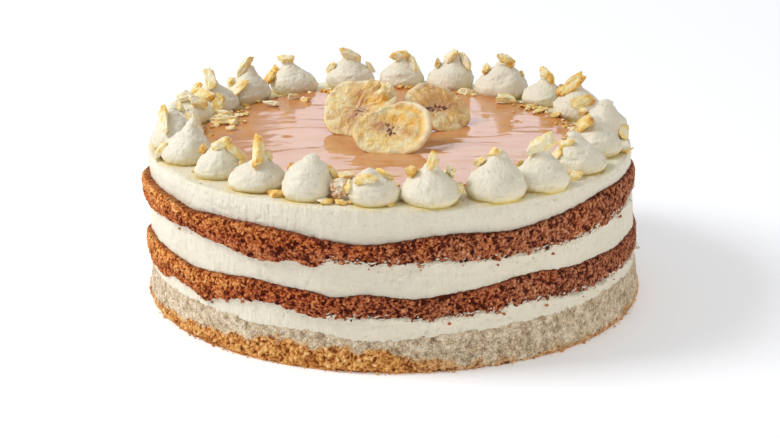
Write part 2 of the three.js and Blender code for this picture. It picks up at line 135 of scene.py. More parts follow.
def smooth(value: Array, low: float, high: float) -> Array:
    """Rises smoothly from 0 at low to 1 at high."""
    share = np.clip((value - low) / (high - low), 0, 1)
    return share * share * (3 - 2 * share)


def bell(value: Array, width: float) -> Array:
    """1 where the value is 0, falling away on both sides over a width."""
    return np.exp(-((value / width) ** 2))


def turn_between(bearing: Array, at: float) -> Array:
    """The signed turn in degrees from one bearing to another, from -180 to 180."""
    return (bearing - at + 180) % 360 - 180


def heading(angle: float) -> Array:
    """The level direction at an angle in radians."""
    return np.array([math.cos(angle), math.sin(angle), 0.0])


def all_round(count: int) -> Array:
    """Evenly spaced bearings in degrees, once round the cake."""
    return np.linspace(-180, 180, count, endpoint=False)


# Colours and shader nodes


def srgb(code: str) -> tuple[float, float, float, float]:
    """Turns an sRGB hex code into the linear colour that a shader takes.

    Args:
        code: Six hex digits after a hash sign.

    Returns:
        Linear red, green, blue and a full alpha.
    """
    parts = [int(code[i : i + 2], 16) / 255 for i in (1, 3, 5)]
    linear = [p / 12.92 if p <= 0.04045 else ((p + 0.055) / 1.055) ** 2.4 for p in parts]
    return (linear[0], linear[1], linear[2], 1.0)


def per_metre(size: float) -> float:
    """The scale of a texture whose features are this many millimetres wide."""
    return 1 / (size * MM)


COLORS = {"data_type": "RGBA", "clamp_result": True}


class Kind(Enum):
    """What a node does, as Blender's name for it, its settings and the output that counts."""

    PLACE = ("ShaderNodeTexCoord", {}, "Object")
    LAID = ("ShaderNodeAttribute", {}, "Fac")
    STRETCH = ("ShaderNodeMapping", {}, 0)
    NOISE = ("ShaderNodeTexNoise", {}, "Fac")
    CELLS = ("ShaderNodeTexVoronoi", {}, "Distance")
    RED = ("ShaderNodeSeparateColor", {}, 0)
    PLUS = ("ShaderNodeMath", {"operation": "ADD"}, 0)
    TIMES = ("ShaderNodeMath", {"operation": "MULTIPLY"}, 0)
    TIMES_PLUS = ("ShaderNodeMath", {"operation": "MULTIPLY_ADD"}, 0)
    ABOVE = ("ShaderNodeMath", {"operation": "GREATER_THAN"}, 0)
    BELOW = ("ShaderNodeMath", {"operation": "LESS_THAN"}, 0)
    CLAMP = ("ShaderNodeClamp", {}, 0)
    RAMP = ("ShaderNodeValToRGB", {}, "Color")
    MIX = ("ShaderNodeMix", {**COLORS, "blend_type": "MIX"}, 2)
    TINT = ("ShaderNodeMix", {**COLORS, "blend_type": "MULTIPLY"}, 2)
    BUMP = ("ShaderNodeBump", {}, "Normal")


def feed(tree: NodeTree, node: Node, inputs: dict | tuple) -> None:
    """Fills a node's inputs.

    Args:
        tree: The material's node tree.
        node: The node.
        inputs: For each input socket, in order or by name or number, a value or the socket
            that feeds it.
    """
    for key, value in inputs.items() if isinstance(inputs, dict) else enumerate(inputs):
        if isinstance(value, NodeSocket):
            tree.links.new(value, node.inputs[key])
        else:
            node.inputs[key].default_value = value


def add(tree: NodeTree, kind: Kind, inputs: dict | tuple, stops: Ramp = (), **settings: str) -> NodeSocket:
    """Adds one shader node.

    Args:
        tree: The material's node tree.
        kind: What the node does.
        inputs: What goes into its sockets, as feed takes it.
        stops: Where each colour of a ramp is, from 0 to 1, and its hex code.
        **settings: Values of the node's own properties.

    Returns:
        The output socket that counts.
    """
    blender_name, usual, output = kind.value
    made = tree.nodes.new(blender_name)
    for key, value in {**usual, **settings}.items():
        setattr(made, key, value)
    for number, (position, code) in enumerate(stops):
        colors = made.color_ramp.elements
        element = colors[number] if number < len(colors) else colors.new(position)
        element.position, element.color = position, srgb(code)
    feed(tree, made, inputs)
    return made.outputs[output]


@dataclass(frozen=True)
class Finish:
    """What every finish shares: its name, how rough it is and how it is put on."""

    name: str = "finish"
    roughness: float = 0.5

    def start(self) -> tuple[Material, NodeTree, NodeSocket]:
        """Makes an empty material.

        Returns:
            The material, its node tree and the place on the object in metres.
        """
        material = bpy.data.materials.new(self.name)
        material.use_nodes = True
        return material, material.node_tree, add(material.node_tree, Kind.PLACE, ())

    def finished(
        self, material: Material, inputs: dict, relief: NodeSocket | None = None, depth: float = 0
    ) -> Material:
        """Puts everything into the material's shader.

        Args:
            material: The material.
            inputs: What goes into the shader's sockets.
            relief: A fine relief, from 0 to 1.
            depth: Its full depth in millimetres.

        Returns:
            The same material.
        """
        tree = material.node_tree
        shader = tree.nodes["Principled BSDF"]
        feed(tree, shader, {**inputs, "Roughness": self.roughness})
        if relief:
            bump = add(tree, Kind.BUMP, {"Height": relief, "Distance": depth * MM, "Strength": 1.0})
            feed(tree, shader, {"Normal": bump})
        return material


@dataclass(frozen=True)
class BrownSponge(Finish):
    """Brown sponge cake, baked and trimmed, so that its open crumb shows on the side.

    The colour paints the light that the cut bubble walls catch, as golden ridges, and paints shade in the
    bubbles, as dark pits.
    """

    name: str = "brown_sponge_crumb"
    roughness: float = 0.85
    specular: float = 0.25
    grain: float = 0.8
    patches: float = 9.0
    relief: float = 0.6
    dull: Ramp = (
        (0.0, "#4C1C0E"), (0.22, "#854128"), (0.45, "#AF6845"), (0.7, "#CC8860"), (1.0, "#E6AE88"),
    )
    walls: Ramp = (
        (0.0, "#541404"), (0.22, "#923A16"), (0.45, "#BF602C"), (0.7, "#D47A3E"), (1.0, "#E69A60"),
    )
    golden: Ramp = (
        (0.0, "#8C3A0A"), (0.22, "#C86E2A"), (0.45, "#EA9848"), (0.7, "#F9B86E"), (1.0, "#FDD69A"),
    )
    top_edge_dark: str = "#4A200E"

    def build(self) -> Material:
        """Makes the material."""
        material, tree, place = self.start()
        size = per_metre(self.grain)
        fine = add(tree, Kind.NOISE, {"Vector": place, "Scale": size, "Detail": 3.0, "Roughness": 0.65})
        patch = add(tree, Kind.NOISE, {"Vector": place, "Scale": per_metre(self.patches)})
        # Painted light and shade: the laid relief value lightens the grains and darkens the gaps and holes
        lit = add(tree, Kind.TIMES_PLUS, (fine, 1.5, -0.75))
        lit = add(tree, Kind.PLUS, (lit, add(tree, Kind.LAID, (), attribute_name="relief")))
        lit = add(tree, Kind.PLUS, (lit, add(tree, Kind.TIMES_PLUS, (patch, 0.16, -0.08))))
        # Painted highlight: from dull brown through red-brown to golden, most golden on the left, which faces
        # the main lamp
        baked = add(tree, Kind.LAID, (), attribute_name="golden")
        half = add(tree, Kind.CLAMP, (add(tree, Kind.TIMES, (baked, 2.0)),))
        rest = add(tree, Kind.CLAMP, (add(tree, Kind.TIMES_PLUS, (baked, 2.0, -1.0)),))
        dull, walls, golden = (add(tree, Kind.RAMP, (lit,), s) for s in (self.dull, self.walls, self.golden))
        color = add(tree, Kind.MIX, {0: half, 6: dull, 7: walls})
        color = add(tree, Kind.MIX, {0: rest, 6: color, 7: golden})
        # Darker along the top edge of each layer
        top_edge_dark = add(tree, Kind.LAID, (), attribute_name="top_edge_dark")
        color = add(tree, Kind.MIX, {0: top_edge_dark, 6: color, 7: srgb(self.top_edge_dark)})
        inputs = {"Base Color": color, "Specular IOR Level": self.specular}
        return self.finished(material, inputs, fine, self.relief)


@dataclass(frozen=True)
class BlondSponge(Finish):
    """Blond sponge cake with a close grey-beige crumb, on a crumbly golden baked foot."""

    name: str = "blond_sponge_crumb"
    roughness: float = 0.88
    specular: float = 0.25
    grain: float = 0.75
    speck_size: float = 1.5
    yolk_size: float = 2.4
    relief: float = 0.3
    crumb: Ramp = (
        (0.0, "#705A44"), (0.25, "#A68E70"), (0.5, "#D3BE9E"), (0.75, "#E9D9BC"), (1.0, "#FBF0DC"),
    )
    crust: Ramp = (
        (0.0, "#8A4A1A"), (0.22, "#BC7536"), (0.45, "#DC9C50"), (0.7, "#F2C078"), (1.0, "#FFE2A8"),
    )
    speck: str = "#7D6F5C"
    yolk: str = "#DDD070"

    def build(self) -> Material:
        """Makes the material."""
        material, tree, place = self.start()
        size = per_metre(self.grain)
        fine = add(tree, Kind.NOISE, {"Vector": place, "Scale": size, "Detail": 3.0, "Roughness": 0.65})
        relief = add(tree, Kind.LAID, (), attribute_name="relief")
        # Painted light and shade: the laid relief value lightens the grains and darkens the gaps
        lit = add(tree, Kind.PLUS, (add(tree, Kind.TIMES_PLUS, (fine, 1.7, -0.82)), relief))
        pale = add(tree, Kind.RAMP, (lit,), self.crumb)
        lit = add(tree, Kind.TIMES_PLUS, (relief, 0.75, add(tree, Kind.TIMES_PLUS, (fine, 1.1, -0.43))))
        baked = add(tree, Kind.RAMP, (lit,), self.crust)
        # Dark bran specks and yellow dots of yolk in the pale crumb
        specks = add(tree, Kind.NOISE, {"Vector": place, "Scale": per_metre(self.speck_size), "Detail": 1.0})
        dark = add(tree, Kind.TIMES, (add(tree, Kind.ABOVE, (specks, 0.64)), 0.55))
        pale = add(tree, Kind.MIX, {0: dark, 6: pale, 7: srgb(self.speck)})
        dots = add(tree, Kind.NOISE, {"Vector": place, "Scale": per_metre(self.yolk_size), "Detail": 0.5})
        yellow = add(tree, Kind.TIMES, (add(tree, Kind.BELOW, (dots, 0.27)), 0.35))
        pale = add(tree, Kind.MIX, {0: yellow, 6: pale, 7: srgb(self.yolk)})
        color = add(tree, Kind.MIX, {0: add(tree, Kind.LAID, (), attribute_name="crust"), 6: pale, 7: baked})
        inputs = {"Base Color": color, "Specular IOR Level": self.specular}
        return self.finished(material, inputs, fine, self.relief)


@dataclass(frozen=True)
class WhippedCream(Finish):
    """Stiff whipped cream, scraped or piped: ivory, satin, faintly see-through, with pinprick
    air holes and, where it was scraped, faint upright drag marks."""

    name: str = "whipped_cream"
    pale: str = "#F3ECD8"
    deep: str = "#E8E0C8"
    # The yellow tint of the painted shade round the dollops' feet
    foot_shade: str = "#F8E9A6"
    # The painted shade in the air holes
    hole: str = "#D5CBAE"
    clouds: float = 7.0
    holes_apart: float = 2.6
    mark_width: float = 1.3
    dimple_width: float = 2.1
    drag: float = 0.2
    dimple: float = 1.1
    relief: float = 0.6

    def build(self) -> Material:
        """Makes the material."""
        material, tree, place = self.start()
        cloud = add(tree, Kind.NOISE, {"Vector": place, "Scale": per_metre(self.clouds), "Detail": 3.0})
        color = add(tree, Kind.MIX, {0: cloud, 6: srgb(self.pale), 7: srgb(self.deep)})
        size = per_metre(self.holes_apart)
        cells = add(tree, Kind.CELLS, {"Vector": place, "Scale": size, "Randomness": 1.0})
        small = add(tree, Kind.BELOW, (cells, 0.16))
        some = add(tree, Kind.ABOVE, (add(tree, Kind.RED, (cells.node.outputs["Color"],)), 0.72))
        holes = add(tree, Kind.TIMES, (small, some))
        # Painted shade: the air holes are coloured darker
        color = add(tree, Kind.MIX, {0: add(tree, Kind.TIMES, (holes, 0.5)), 6: color, 7: srgb(self.hole)})
        # Painted shade: a darker yellow tint round the dollops' feet, laid by the mesh
        foot_shade = add(tree, Kind.LAID, (), attribute_name="foot_shade")
        color = add(tree, Kind.TINT, {0: foot_shade, 6: color, 7: srgb(self.foot_shade)})
        stretched = add(tree, Kind.STRETCH, {"Vector": place, "Scale": (1.0, 1.0, self.drag)})
        marks = add(tree, Kind.NOISE, {"Vector": stretched, "Scale": per_metre(self.mark_width)})
        size = per_metre(self.dimple_width)
        dimples = add(tree, Kind.NOISE, {"Vector": place, "Scale": size, "Roughness": 0.55})
        relief = add(tree, Kind.TIMES_PLUS, (dimples, self.dimple, marks))
        relief = add(tree, Kind.TIMES_PLUS, (holes, -1.2, relief))
        # Cream scatters light a millimetre or two below its surface
        inputs = {
            "Base Color": color, "IOR": 1.45, "Subsurface Weight": 0.18,
            "Subsurface Radius": (1.0, 0.75, 0.45), "Subsurface Scale": 2.2 * MM,
        }
        return self.finished(material, inputs, relief, self.relief)


@dataclass(frozen=True)
class PouredCaramel(Finish):
    """Milk caramel poured warm: glossy tan, with painted shade that makes it a little darker
    towards the pool's edge at the dollops' feet, and long slow ripples that break up what it reflects."""

    name: str = "poured_caramel"
    roughness: float = 0.1
    pale: str = "#D5965F"
    deep: str = "#C0763A"
    clouds: float = 14.0
    ripples: float = 3.0
    relief: float = 0.05

    def build(self) -> Material:
        """Makes the material."""
        material, tree, place = self.start()
        streak = add(tree, Kind.STRETCH, {"Vector": place, "Scale": (0.4, 1.0, 1.0)})
        size = per_metre(self.clouds)
        cloud = add(tree, Kind.NOISE, {"Vector": streak, "Scale": size, "Detail": 3.0, "Roughness": 0.55})
        # Painted shade: darker towards the pool's edge, at the dollops' feet
        share = add(tree, Kind.PLUS, (cloud, add(tree, Kind.LAID, (), attribute_name="edge_shade")))
        share = add(tree, Kind.CLAMP, (add(tree, Kind.TIMES_PLUS, (share, 1.6, -0.5)),))
        color = add(tree, Kind.MIX, {0: share, 6: srgb(self.pale), 7: srgb(self.deep)})
        ripples = add(tree, Kind.NOISE, {"Vector": streak, "Scale": per_metre(self.ripples)})
        inputs = {"Base Color": color, "IOR": 1.5, "Subsurface Weight": 0.1, "Subsurface Scale": 2.0 * MM}
        return self.finished(material, inputs, ripples, self.relief)


@dataclass(frozen=True)
class DriedBanana(Finish):
    """A slice of banana, oven-dried: leathery yellow flesh with a paler rolled rim, radial
    fibres and dark seed specks in the middle."""

    name: str = "dried_banana"
    flesh: Ramp = ((0.0, "#DC983A"), (0.3, "#F3C064"), (0.55, "#FFDE90"), (0.85, "#FFF3C6"))
    # From the lowest coat up: each lies where the mesh says
    coats: tuple[tuple[str, str], ...] = (
        ("rim", "#FFF0CA"), ("tan", "#D59A52"), ("gold", "#FBBC3C"), ("blush", "#CE9272"),
        ("seed", "#642C20"),
    )
    fibres: float = 1.1
    clouds: float = 5.5
    relief: float = 0.6

    def build(self) -> Material:
        """Makes the material."""
        material, tree, place = self.start()
        size = per_metre(self.fibres)
        fibre = add(tree, Kind.NOISE, {"Vector": place, "Scale": size, "Detail": 4.0, "Roughness": 0.65})
        cloud = add(tree, Kind.NOISE, {"Vector": place, "Scale": per_metre(self.clouds)})
        lit = add(tree, Kind.TIMES_PLUS, (fibre, 0.9, add(tree, Kind.TIMES_PLUS, (cloud, 1.1, -0.36))))
        color = add(tree, Kind.RAMP, (lit,), self.flesh)
        for coat, code in self.coats:
            share = add(tree, Kind.LAID, (), attribute_name=coat)
            color = add(tree, Kind.MIX, {0: share, 6: color, 7: srgb(code)})
        inputs = {"Base Color": color, "Subsurface Weight": 0.12, "Subsurface Scale": 1.5 * MM}
        return self.finished(material, inputs, fibre, self.relief)


@dataclass(frozen=True)
class ChoppedNut(Finish):
    """Blanched nuts, chopped and lightly toasted: ivory where they broke, golden to brown
    where the heat caught them."""

    name: str = "chopped_nut"
    roughness: float = 0.45
    toasting: Ramp = (
        (0.0, "#FFF4D2"), (0.28, "#FDE49C"), (0.52, "#F5C862"), (0.76, "#DD973A"), (1.0, "#98561F"),
    )
    grain: float = 1.0
    patches: float = 3.0
    relief: float = 0.55

    def build(self) -> Material:
        """Makes the material."""
        material, tree, place = self.start()
        size = per_metre(self.grain)
        grain = add(tree, Kind.NOISE, {"Vector": place, "Scale": size, "Detail": 3.0, "Roughness": 0.6})
        patch = add(tree, Kind.NOISE, {"Vector": place, "Scale": per_metre(self.patches)})
        share = add(tree, Kind.TIMES_PLUS, (grain, 0.4, add(tree, Kind.TIMES_PLUS, (patch, 1.1, -0.87))))
        share = add(tree, Kind.PLUS, (share, add(tree, Kind.LAID, (), attribute_name="toast")))
        color = add(tree, Kind.RAMP, (share,), self.toasting)
        inputs = {"Base Color": color, "Subsurface Weight": 0.15, "Subsurface Scale": 1.2 * MM}
        return self.finished(material, inputs, grain, self.relief)


SUGARED = ((0.0, "#FFEFD6"), (0.28, "#F9D6AE"), (0.52, "#EBB486"), (0.76, "#C98A58"), (1.0, "#8E5430"))


@dataclass(frozen=True)
class PaleFloor(Finish):
    """Matt white paper, lit from below as well, like the paper of a light table."""

    name: str = "pale_floor"
    roughness: float = 0.9
    paper: str = "#F6F7F8"
    glow: float = 0.25

    def build(self) -> Material:
        """Makes the material."""
        material, _, _ = self.start()
        paper = srgb(self.paper)
        inputs = {"Base Color": paper, "Emission Color": paper, "Emission Strength": self.glow}
        return self.finished(material, inputs)


# Meshes


@dataclass
class Body:
    """A closed mesh in the making, in millimetres."""

    points: Array
    faces: list[Array]
    laid: dict[str, Array] = field(default_factory=dict)

    def piece(
        self, name: str, finish: Material, slot: str, nodes: tuple[str, ...] = (), soft: bool = True
    ) -> Object:
        """Makes the Blender object and fixes it to the cake.

        Args:
            name: The piece's name.
            finish: Its material.
            slot: The name of a material slot; not used.
            nodes: The solids that it stands for.
            soft: Whether its faces are shaded as one smooth surface.

        Returns:
            The new object.
        """
        mesh = bpy.data.meshes.new(name)
        mesh.vertices.add(len(self.points))
        mesh.vertices.foreach_set("co", (self.points * MM).astype(np.float32).ravel())
        corners = np.concatenate([f.ravel() for f in self.faces])
        widths = np.concatenate([np.full(len(f), f.shape[1]) for f in self.faces])
        mesh.loops.add(len(corners))
        mesh.loops.foreach_set("vertex_index", corners.astype(np.int32))
        mesh.polygons.add(len(widths))
        starts = np.concatenate([[0], np.cumsum(widths)[:-1]])
        mesh.polygons.foreach_set("loop_start", starts.astype(np.int32))
        mesh.polygons.foreach_set("use_smooth", np.full(len(widths), soft))
        for key, values in self.laid.items():
            store = mesh.attributes.new(key, "FLOAT", "POINT")
            store.data.foreach_set("value", np.asarray(values, np.float32))
        mesh.update(calc_edges=True)
        mesh.materials.append(finish)
        made = bpy.data.objects.new(name, mesh)
        bpy.context.scene.collection.objects.link(made)
        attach(made, "root")
        if nodes:
            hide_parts(*nodes)
        LOG.info("%s: %d points, %d faces", name, len(self.points), len(widths))
        return made


def gathered(bodies: list[Body]) -> Body:
    """Puts many small bodies that carry the same values into one mesh.

    Args:
        bodies: The bodies, all with the same named values.

    Returns:
        The one body.
    """
    offsets = np.cumsum([0] + [len(b.points) for b in bodies[:-1]])
    faces: dict[int, list[Array]] = {}
    for body, offset in zip(bodies, offsets):
        for f in body.faces:
            faces.setdefault(f.shape[1], []).append(f + offset)
    laid = {k: np.concatenate([b.laid[k] for b in bodies]) for k in bodies[0].laid}
    points = np.concatenate([b.points for b in bodies])
    return Body(points, [np.concatenate(f) for f in faces.values()], laid)


def rings_closed(rings: Array, low: Array, high: Array) -> Body:
    """Joins rings of points, from the lowest up, and closes both ends on a middle point.

    Args:
        rings: Points in the shape (rings, points in a ring, 3), anticlockwise from above.
        low: The middle point that closes the first ring.
        high: The middle point that closes the last ring.

    Returns:
        The closed body.
    """
    count, around = rings.shape[:2]
    index = np.arange(count * around).reshape(count, around)
    beside = np.roll(index, -1, axis=1)
    quads = np.stack([index[:-1], beside[:-1], beside[1:], index[1:]], axis=-1).reshape(-1, 4)
    bottom, top = count * around, count * around + 1
    under = np.stack([np.full(around, bottom), beside[0], index[0]], axis=-1)
    over = np.stack([np.full(around, top), index[-1], beside[-1]], axis=-1)
    points = np.concatenate([rings.reshape(-1, 3), [low], [high]])
    return Body(points, [quads, under, over])


# The form that the bands share


@dataclass(frozen=True)
class Boundary:
    """Where one band meets the next: its level, and swells as (bearing, rise, spread)."""

    level: float
    swells: Spots = ()

    def height(self, bearing: Array) -> Array:
        """Its height at bearings in degrees."""
        total = np.full(np.shape(bearing), self.level, float)
        for at, rise, spread in self.swells:
            total = total + rise * bell(turn_between(bearing, at), spread)
        return total


@dataclass(frozen=True)
class CakeForm:
    """The cake's outer form: a round body that narrows and leans a little as it rises."""

    height: float = 71.6
    base_radius: float = 114.3
    top_radius: float = 112.0
    top_shift_x: float = -2.8
    underside: Boundary = Boundary(0)
    sponge_top: Boundary = Boundary(
        17.9,
        ((-94, -3.6, 14), (-121, -1.4, 8), (-35, 0.6, 15), (-104, 0.8, 3), (70, -1.6, 22), (160, 1, 18)),
    )
    lower_cake_underside: Boundary = Boundary(
        24.4,
        (
            (-158, -3.2, 10), (-147, 1.6, 3), (-136, -3.6, 6), (-119, 2.8, 9), (-106, -1.4, 4),
            (-82, -1.2, 5), (-60, 2, 6), (-42, -0.8, 5), (40, 1.8, 16), (100, -2, 12), (140, 1.6, 9),
        ),
    )
    lower_cake_top: Boundary = Boundary(
        34.9,
        (
            (-140, -1.4, 7), (-121, 1.4, 6), (-102, -2.2, 4), (-85, -2, 7), (-58, 3.9, 11), (-38, 2, 8),
            (-20, 1.4, 8), (50, -1.4, 20), (85, 2, 12), (150, -1, 15), (-176, -1.6, 8),
        ),
    )
    upper_cake_underside: Boundary = Boundary(
        50.3,
        (
            (-141, 0.8, 6), (-118, -4.2, 10), (-106.5, -3, 2.8), (-92, -1.6, 9), (-62, -2.6, 24),
            (-12, 3.6, 10), (45, -1.6, 18), (95, 1.8, 14), (150, -1.2, 12),
        ),
    )
    upper_cake_top: Boundary = Boundary(
        60.9,
        (
            (-140, -1.4, 6), (-96, -4.6, 13), (-63, -2, 9), (-34, 3.6, 12), (-16, 3, 10), (30, 1.4, 18),
            (90, -1.8, 20), (140, 1.6, 14),
        ),
    )
    rim: Boundary = Boundary(71.6)
    # From one bearing to another the bands lie level, and fade out over a few degrees
    drawn: tuple[float, float, float] = (128.0, 184.0, 6.0)

    def drawn_in(self, bearing: Array) -> Array:
        """How far a band lies level with the plain form at each bearing, from 0 to 1."""
        start, end, fade = self.drawn
        around = np.mod(bearing, 360)
        return smooth(around, start - fade, start) - smooth(around, end, end + fade)

    def point(self, bearing: Array, height: Array, outset: Array, shift: float = 0.0) -> Array:
        """Places on the side of the cake.

        Args:
            bearing: Bearings in degrees.
            height: Heights above the underside.
            outset: How far each place stands out from the plain form.
            shift: How far the band that they belong to has slid along X.

        Returns:
            The places, three numbers for each.
        """
        climb = height / self.height
        radius = self.base_radius + (self.top_radius - self.base_radius) * climb + outset
        angle = np.radians(bearing)
        x = radius * np.cos(angle) + self.top_shift_x * climb + shift
        return np.stack([x, radius * np.sin(angle), height], axis=-1)


FORM = CakeForm()


@dataclass
class SpongeBand:
    """A layer of sponge that shows its crumb round the side."""

    name: str
    node: str
    below: Boundary
    above: Boundary
    outset: float
    profile: tuple[tuple[float, float], ...]
    shift: float = 0.0
    around: int = 1500
    rows: int = 34
    # The crumb's grains, open holes, lumps and grit: widths and heights
    grain: float = 1.35
    grain_height: float = 0.75
    hole: float = 1.4
    hole_depth: float = 0.6
    lump_width: float = 4.2
    lumps: float = 0.32
    grit_width: float = 1.0
    # The lower edge: its teeth, how ragged it is, and the voids torn out of it
    teeth: float = 1.9
    ragged: float = 0.75
    fray: float = 0.5
    underhang: float = 0.6
    void: float = 3.4
    void_depth: float = 1.6
    # The upper edge's unevenness, and how far both edges roll in over how short a way
    crisp: float = 0.3
    roll_low: float = 1.1
    roll_low_over: float = 0.4
    roll_high: float = 1.1
    roll_high_over: float = 0.3
    # Where the crumb is golden, the darker band along the top edge and how light the whole layer is
    golden_at: float = -160.0
    golden_spread: float = 58.0
    golden_low: float = 0.7
    top_edge_dark: float = 0.6
    top_edge_dark_height: float = 0.45
    lift: float = 0.0
    # How deep the hidden inner rings lie
    inset: float = 5.0
    seed: int = 1

    def relief(self, points: Array) -> tuple[Array, Array]:
        """The crumb's relief: clumped grains with gaps and a few open holes, and painted shade in the gaps
        and holes.

        Args:
            points: Places on the smooth side.

        Returns:
            How far each place stands out, and how lit it is from 0 in a gap to 1 on a grain.
        """
        warp = np.stack([drift(points, 1.4, self.seed + 50 + k) for k in range(3)], axis=1)
        warped = points + 0.75 * warp
        near, second, owner = bubbles(warped, self.grain, self.seed)
        clump = np.clip(1 - near / 0.9, 0, 1) * (0.3 + 0.7 * owner)
        gap = 1 - smooth(second - near, 0.02, 0.25)
        small, _, tone = bubbles(warped, self.grain * 0.55, self.seed + 5)
        speckle = np.clip(1 - small / 0.9, 0, 1) * (0.4 + 0.6 * tone)
        _, _, hole = bubbles(warped, self.hole, self.seed + 9)
        open_hole = smooth(hole, 0.8, 0.9)
        lump = drift(points, self.lump_width, self.seed + 20, 2)
        grit = drift(points, self.grit_width, self.seed + 25, 2)
        stand = self.grain_height * (clump + 0.45 * speckle - 0.2 * gap) - self.hole_depth * open_hole
        stand = stand + self.lumps * lump + self.grain_height * 0.25 * grit
        # Painted light and shade: lighter on the grains, darker in the gaps and open holes
        lit = 0.11 + 0.7 * clump + 0.56 * speckle - 0.28 * gap - 0.6 * open_hole + 0.38 * grit + 0.12 * lump
        return stand, lit + self.lift

    def edges(self, bearing: Array) -> tuple[Array, Array, Array]:
        """The layer's lower and upper edge.

        Args:
            bearing: Bearings in degrees.

        Returns:
            The heights of both edges, and how torn the lower one is from 0 to 1.
        """
        ring = FORM.point(bearing, np.full(self.around, self.below.level), np.zeros(self.around))
        tear = 0.8 * drift(ring, 4.0, self.seed + 70, 3) + 0.8 * drift(ring, 1.5, self.seed + 71, 2)
        # In front and on the right the knife pulled the lower edge into short teeth
        torn = smooth(bearing, -112, -95) * smooth(-bearing, 5, 25)
        teeth = smooth(drift(ring, 1.15, self.seed + 75, 3), 0.0, 1.0)
        tear = tear * (1 + self.fray * torn) + self.fray * torn * self.teeth * teeth
        low = self.below.height(bearing) - self.underhang + self.ragged * tear
        if self.below.level == 0:
            low = 0.3 * np.abs(tear)
        high = self.above.height(bearing) + self.crisp * drift(ring, 2.0, self.seed + 72, 3)
        return low, high, torn

    def body(self) -> Body:
        """Builds the layer as one closed body."""
        bearing = all_round(self.around)
        low, high, torn = self.edges(bearing)
        share = np.linspace(0, 1, self.rows)[:, None]
        height = low + (high - low) * share
        bearings = np.broadcast_to(bearing, height.shape)
        swell = np.interp(share.ravel(), [p[0] for p in self.profile], [p[1] for p in self.profile])[:, None]
        level = FORM.drawn_in(bearings)
        out = self.outset - level * (self.outset - self.shift) + np.broadcast_to(swell, height.shape)
        out = out - self.roll_low * np.exp(-(height - low) / self.roll_low_over)
        out = out - self.roll_high * np.exp(-(high - height) / self.roll_high_over)
        flat = FORM.point(bearings, height, out, self.shift).reshape(-1, 3)
        stand, lit = self.relief(flat)
        near, _, owner = bubbles(flat * np.array([1, 1, 1.5]), self.void, self.seed + 77)
        edge = bell(height - low - 0.9, 1.3) * torn
        voids = (smooth(-near, -0.42, -0.2) * smooth(owner, 0.45, 0.6)).reshape(height.shape) * edge
        stand = stand.reshape(height.shape) - 0.5 * level * (self.below.level > 0) - self.void_depth * voids
        # Painted shade in the torn voids
        lit = lit - 0.9 * voids.ravel()
        side = FORM.point(bearings, height, out + stand, self.shift)
        inner = np.full(self.around, -self.inset)
        inner_low = FORM.point(bearing, low + 0.3, inner, self.shift)
        inner_high = FORM.point(bearing, high - 0.3, inner, self.shift)
        if self.below.level == 0:
            inner_low[:, 2] = 0
            side[0, :, 2] = 0
        rings = np.concatenate([inner_low[None], side, inner_high[None]])
        middle = [self.shift + FORM.top_shift_x * 0.5, 0]
        ends = [np.array([*middle, end]) for end in (self.below.level, self.above.level)]
        made = rings_closed(rings, *ends)
        # The crumb's painted light and shade, laid as relief
        made.laid["relief"] = self.spread(lit.reshape(height.shape), 0.5)
        # Darker along the top edge of each brown layer
        made.laid["top_edge_dark"] = self.spread(self.top_edge_dark * bell(high - height, self.top_edge_dark_height), 0.5)
        # Painted highlight: golden on the left, which faces the main lamp, and in each layer's upper part,
        # plus random patches
        golden = bell(turn_between(bearings, self.golden_at), self.golden_spread)
        golden = golden * (self.golden_low + (1 - self.golden_low) * smooth(share + 0 * height, 0.25, 0.75))
        patch = smooth(drift(flat, 13.0, self.seed + 60, 2), 0.1, 0.9).reshape(height.shape)
        made.laid["golden"] = self.spread(np.clip(golden + 0.2 * patch, 0, 1), 0.0)
        return made

    def spread(self, values: Array, inside: float) -> Array:
        """Values on the side, with one value for the hidden rings and middle points."""
        edge = np.full((1, self.around), inside)
        return np.concatenate([np.concatenate([edge, values, edge]).ravel(), [inside, inside]])

    def make(self, finish: Material, slot: str) -> Object:
        """Builds and dresses the layer."""
        return self.body().piece(self.name, finish, slot, (self.node,))


@dataclass
class SpongeFoot(SpongeBand):
    """The blond sponge at the bottom, with its baked crust round the foot."""

    crust: Boundary = Boundary(
        4.6,
        (
            (-119, 5.0, 20), (-115, 2.6, 3.5), (-98, 4.2, 11), (-150, 1.6, 12), (-64, -2.2, 14),
            (-35, -1.4, 10), (-14, 2.0, 9), (30, 2.5, 25), (120, 2.0, 30),
        ),
    )
    close_grain: float = 1.05
    close_height: float = 0.34
    close_swell: float = 0.2

    def crust_share(self, points: Array) -> Array:
        """How much of the baked crust each place shows, from 0 to 1."""
        bearing = np.degrees(np.arctan2(points[:, 1], points[:, 0]))
        edge = self.crust.height(bearing) + 2.4 * drift(points, 5.0, self.seed + 80, 4)
        worn = smooth(bearing, -92, -72) * smooth(-bearing, -10, 10)
        return smooth(edge - points[:, 2], -1.4, 1.4) * (1 - 0.5 * worn)

    def relief(self, points: Array) -> tuple[Array, Array]:
        """The crumb's relief: fine above, and lumpy on the crust.

        Args:
            points: Places on the smooth side.

        Returns:
            How far each place stands out, and how lit it is from 0 in a gap to 1 on a grain.
        """
        crust = self.crust_share(points)
        coarse, coarse_lit = super().relief(points)
        near, second, owner = bubbles(points, self.close_grain, self.seed + 40)
        grain = np.clip(1 - near / 0.85, 0, 1) * (0.4 + 0.6 * owner)
        gap = 1 - smooth(second - near, 0, 0.3)
        fine = self.close_height * grain + self.close_swell * drift(points, 2.4, self.seed + 41, 3)
        fine = fine - 0.12 * gap
        # Painted light on the fine grains
        fine_lit = 0.38 + 0.4 * grain + 0.26 * drift(points, 2.2, self.seed + 42, 3)
        stand = crust * (coarse + 0.35) + (1 - crust) * fine
        return stand, crust * coarse_lit + (1 - crust) * fine_lit

    def body(self) -> Body:
        """Builds the layer as one closed body."""
        made = super().body()
        made.laid["crust"] = self.crust_share(made.points)
        return made


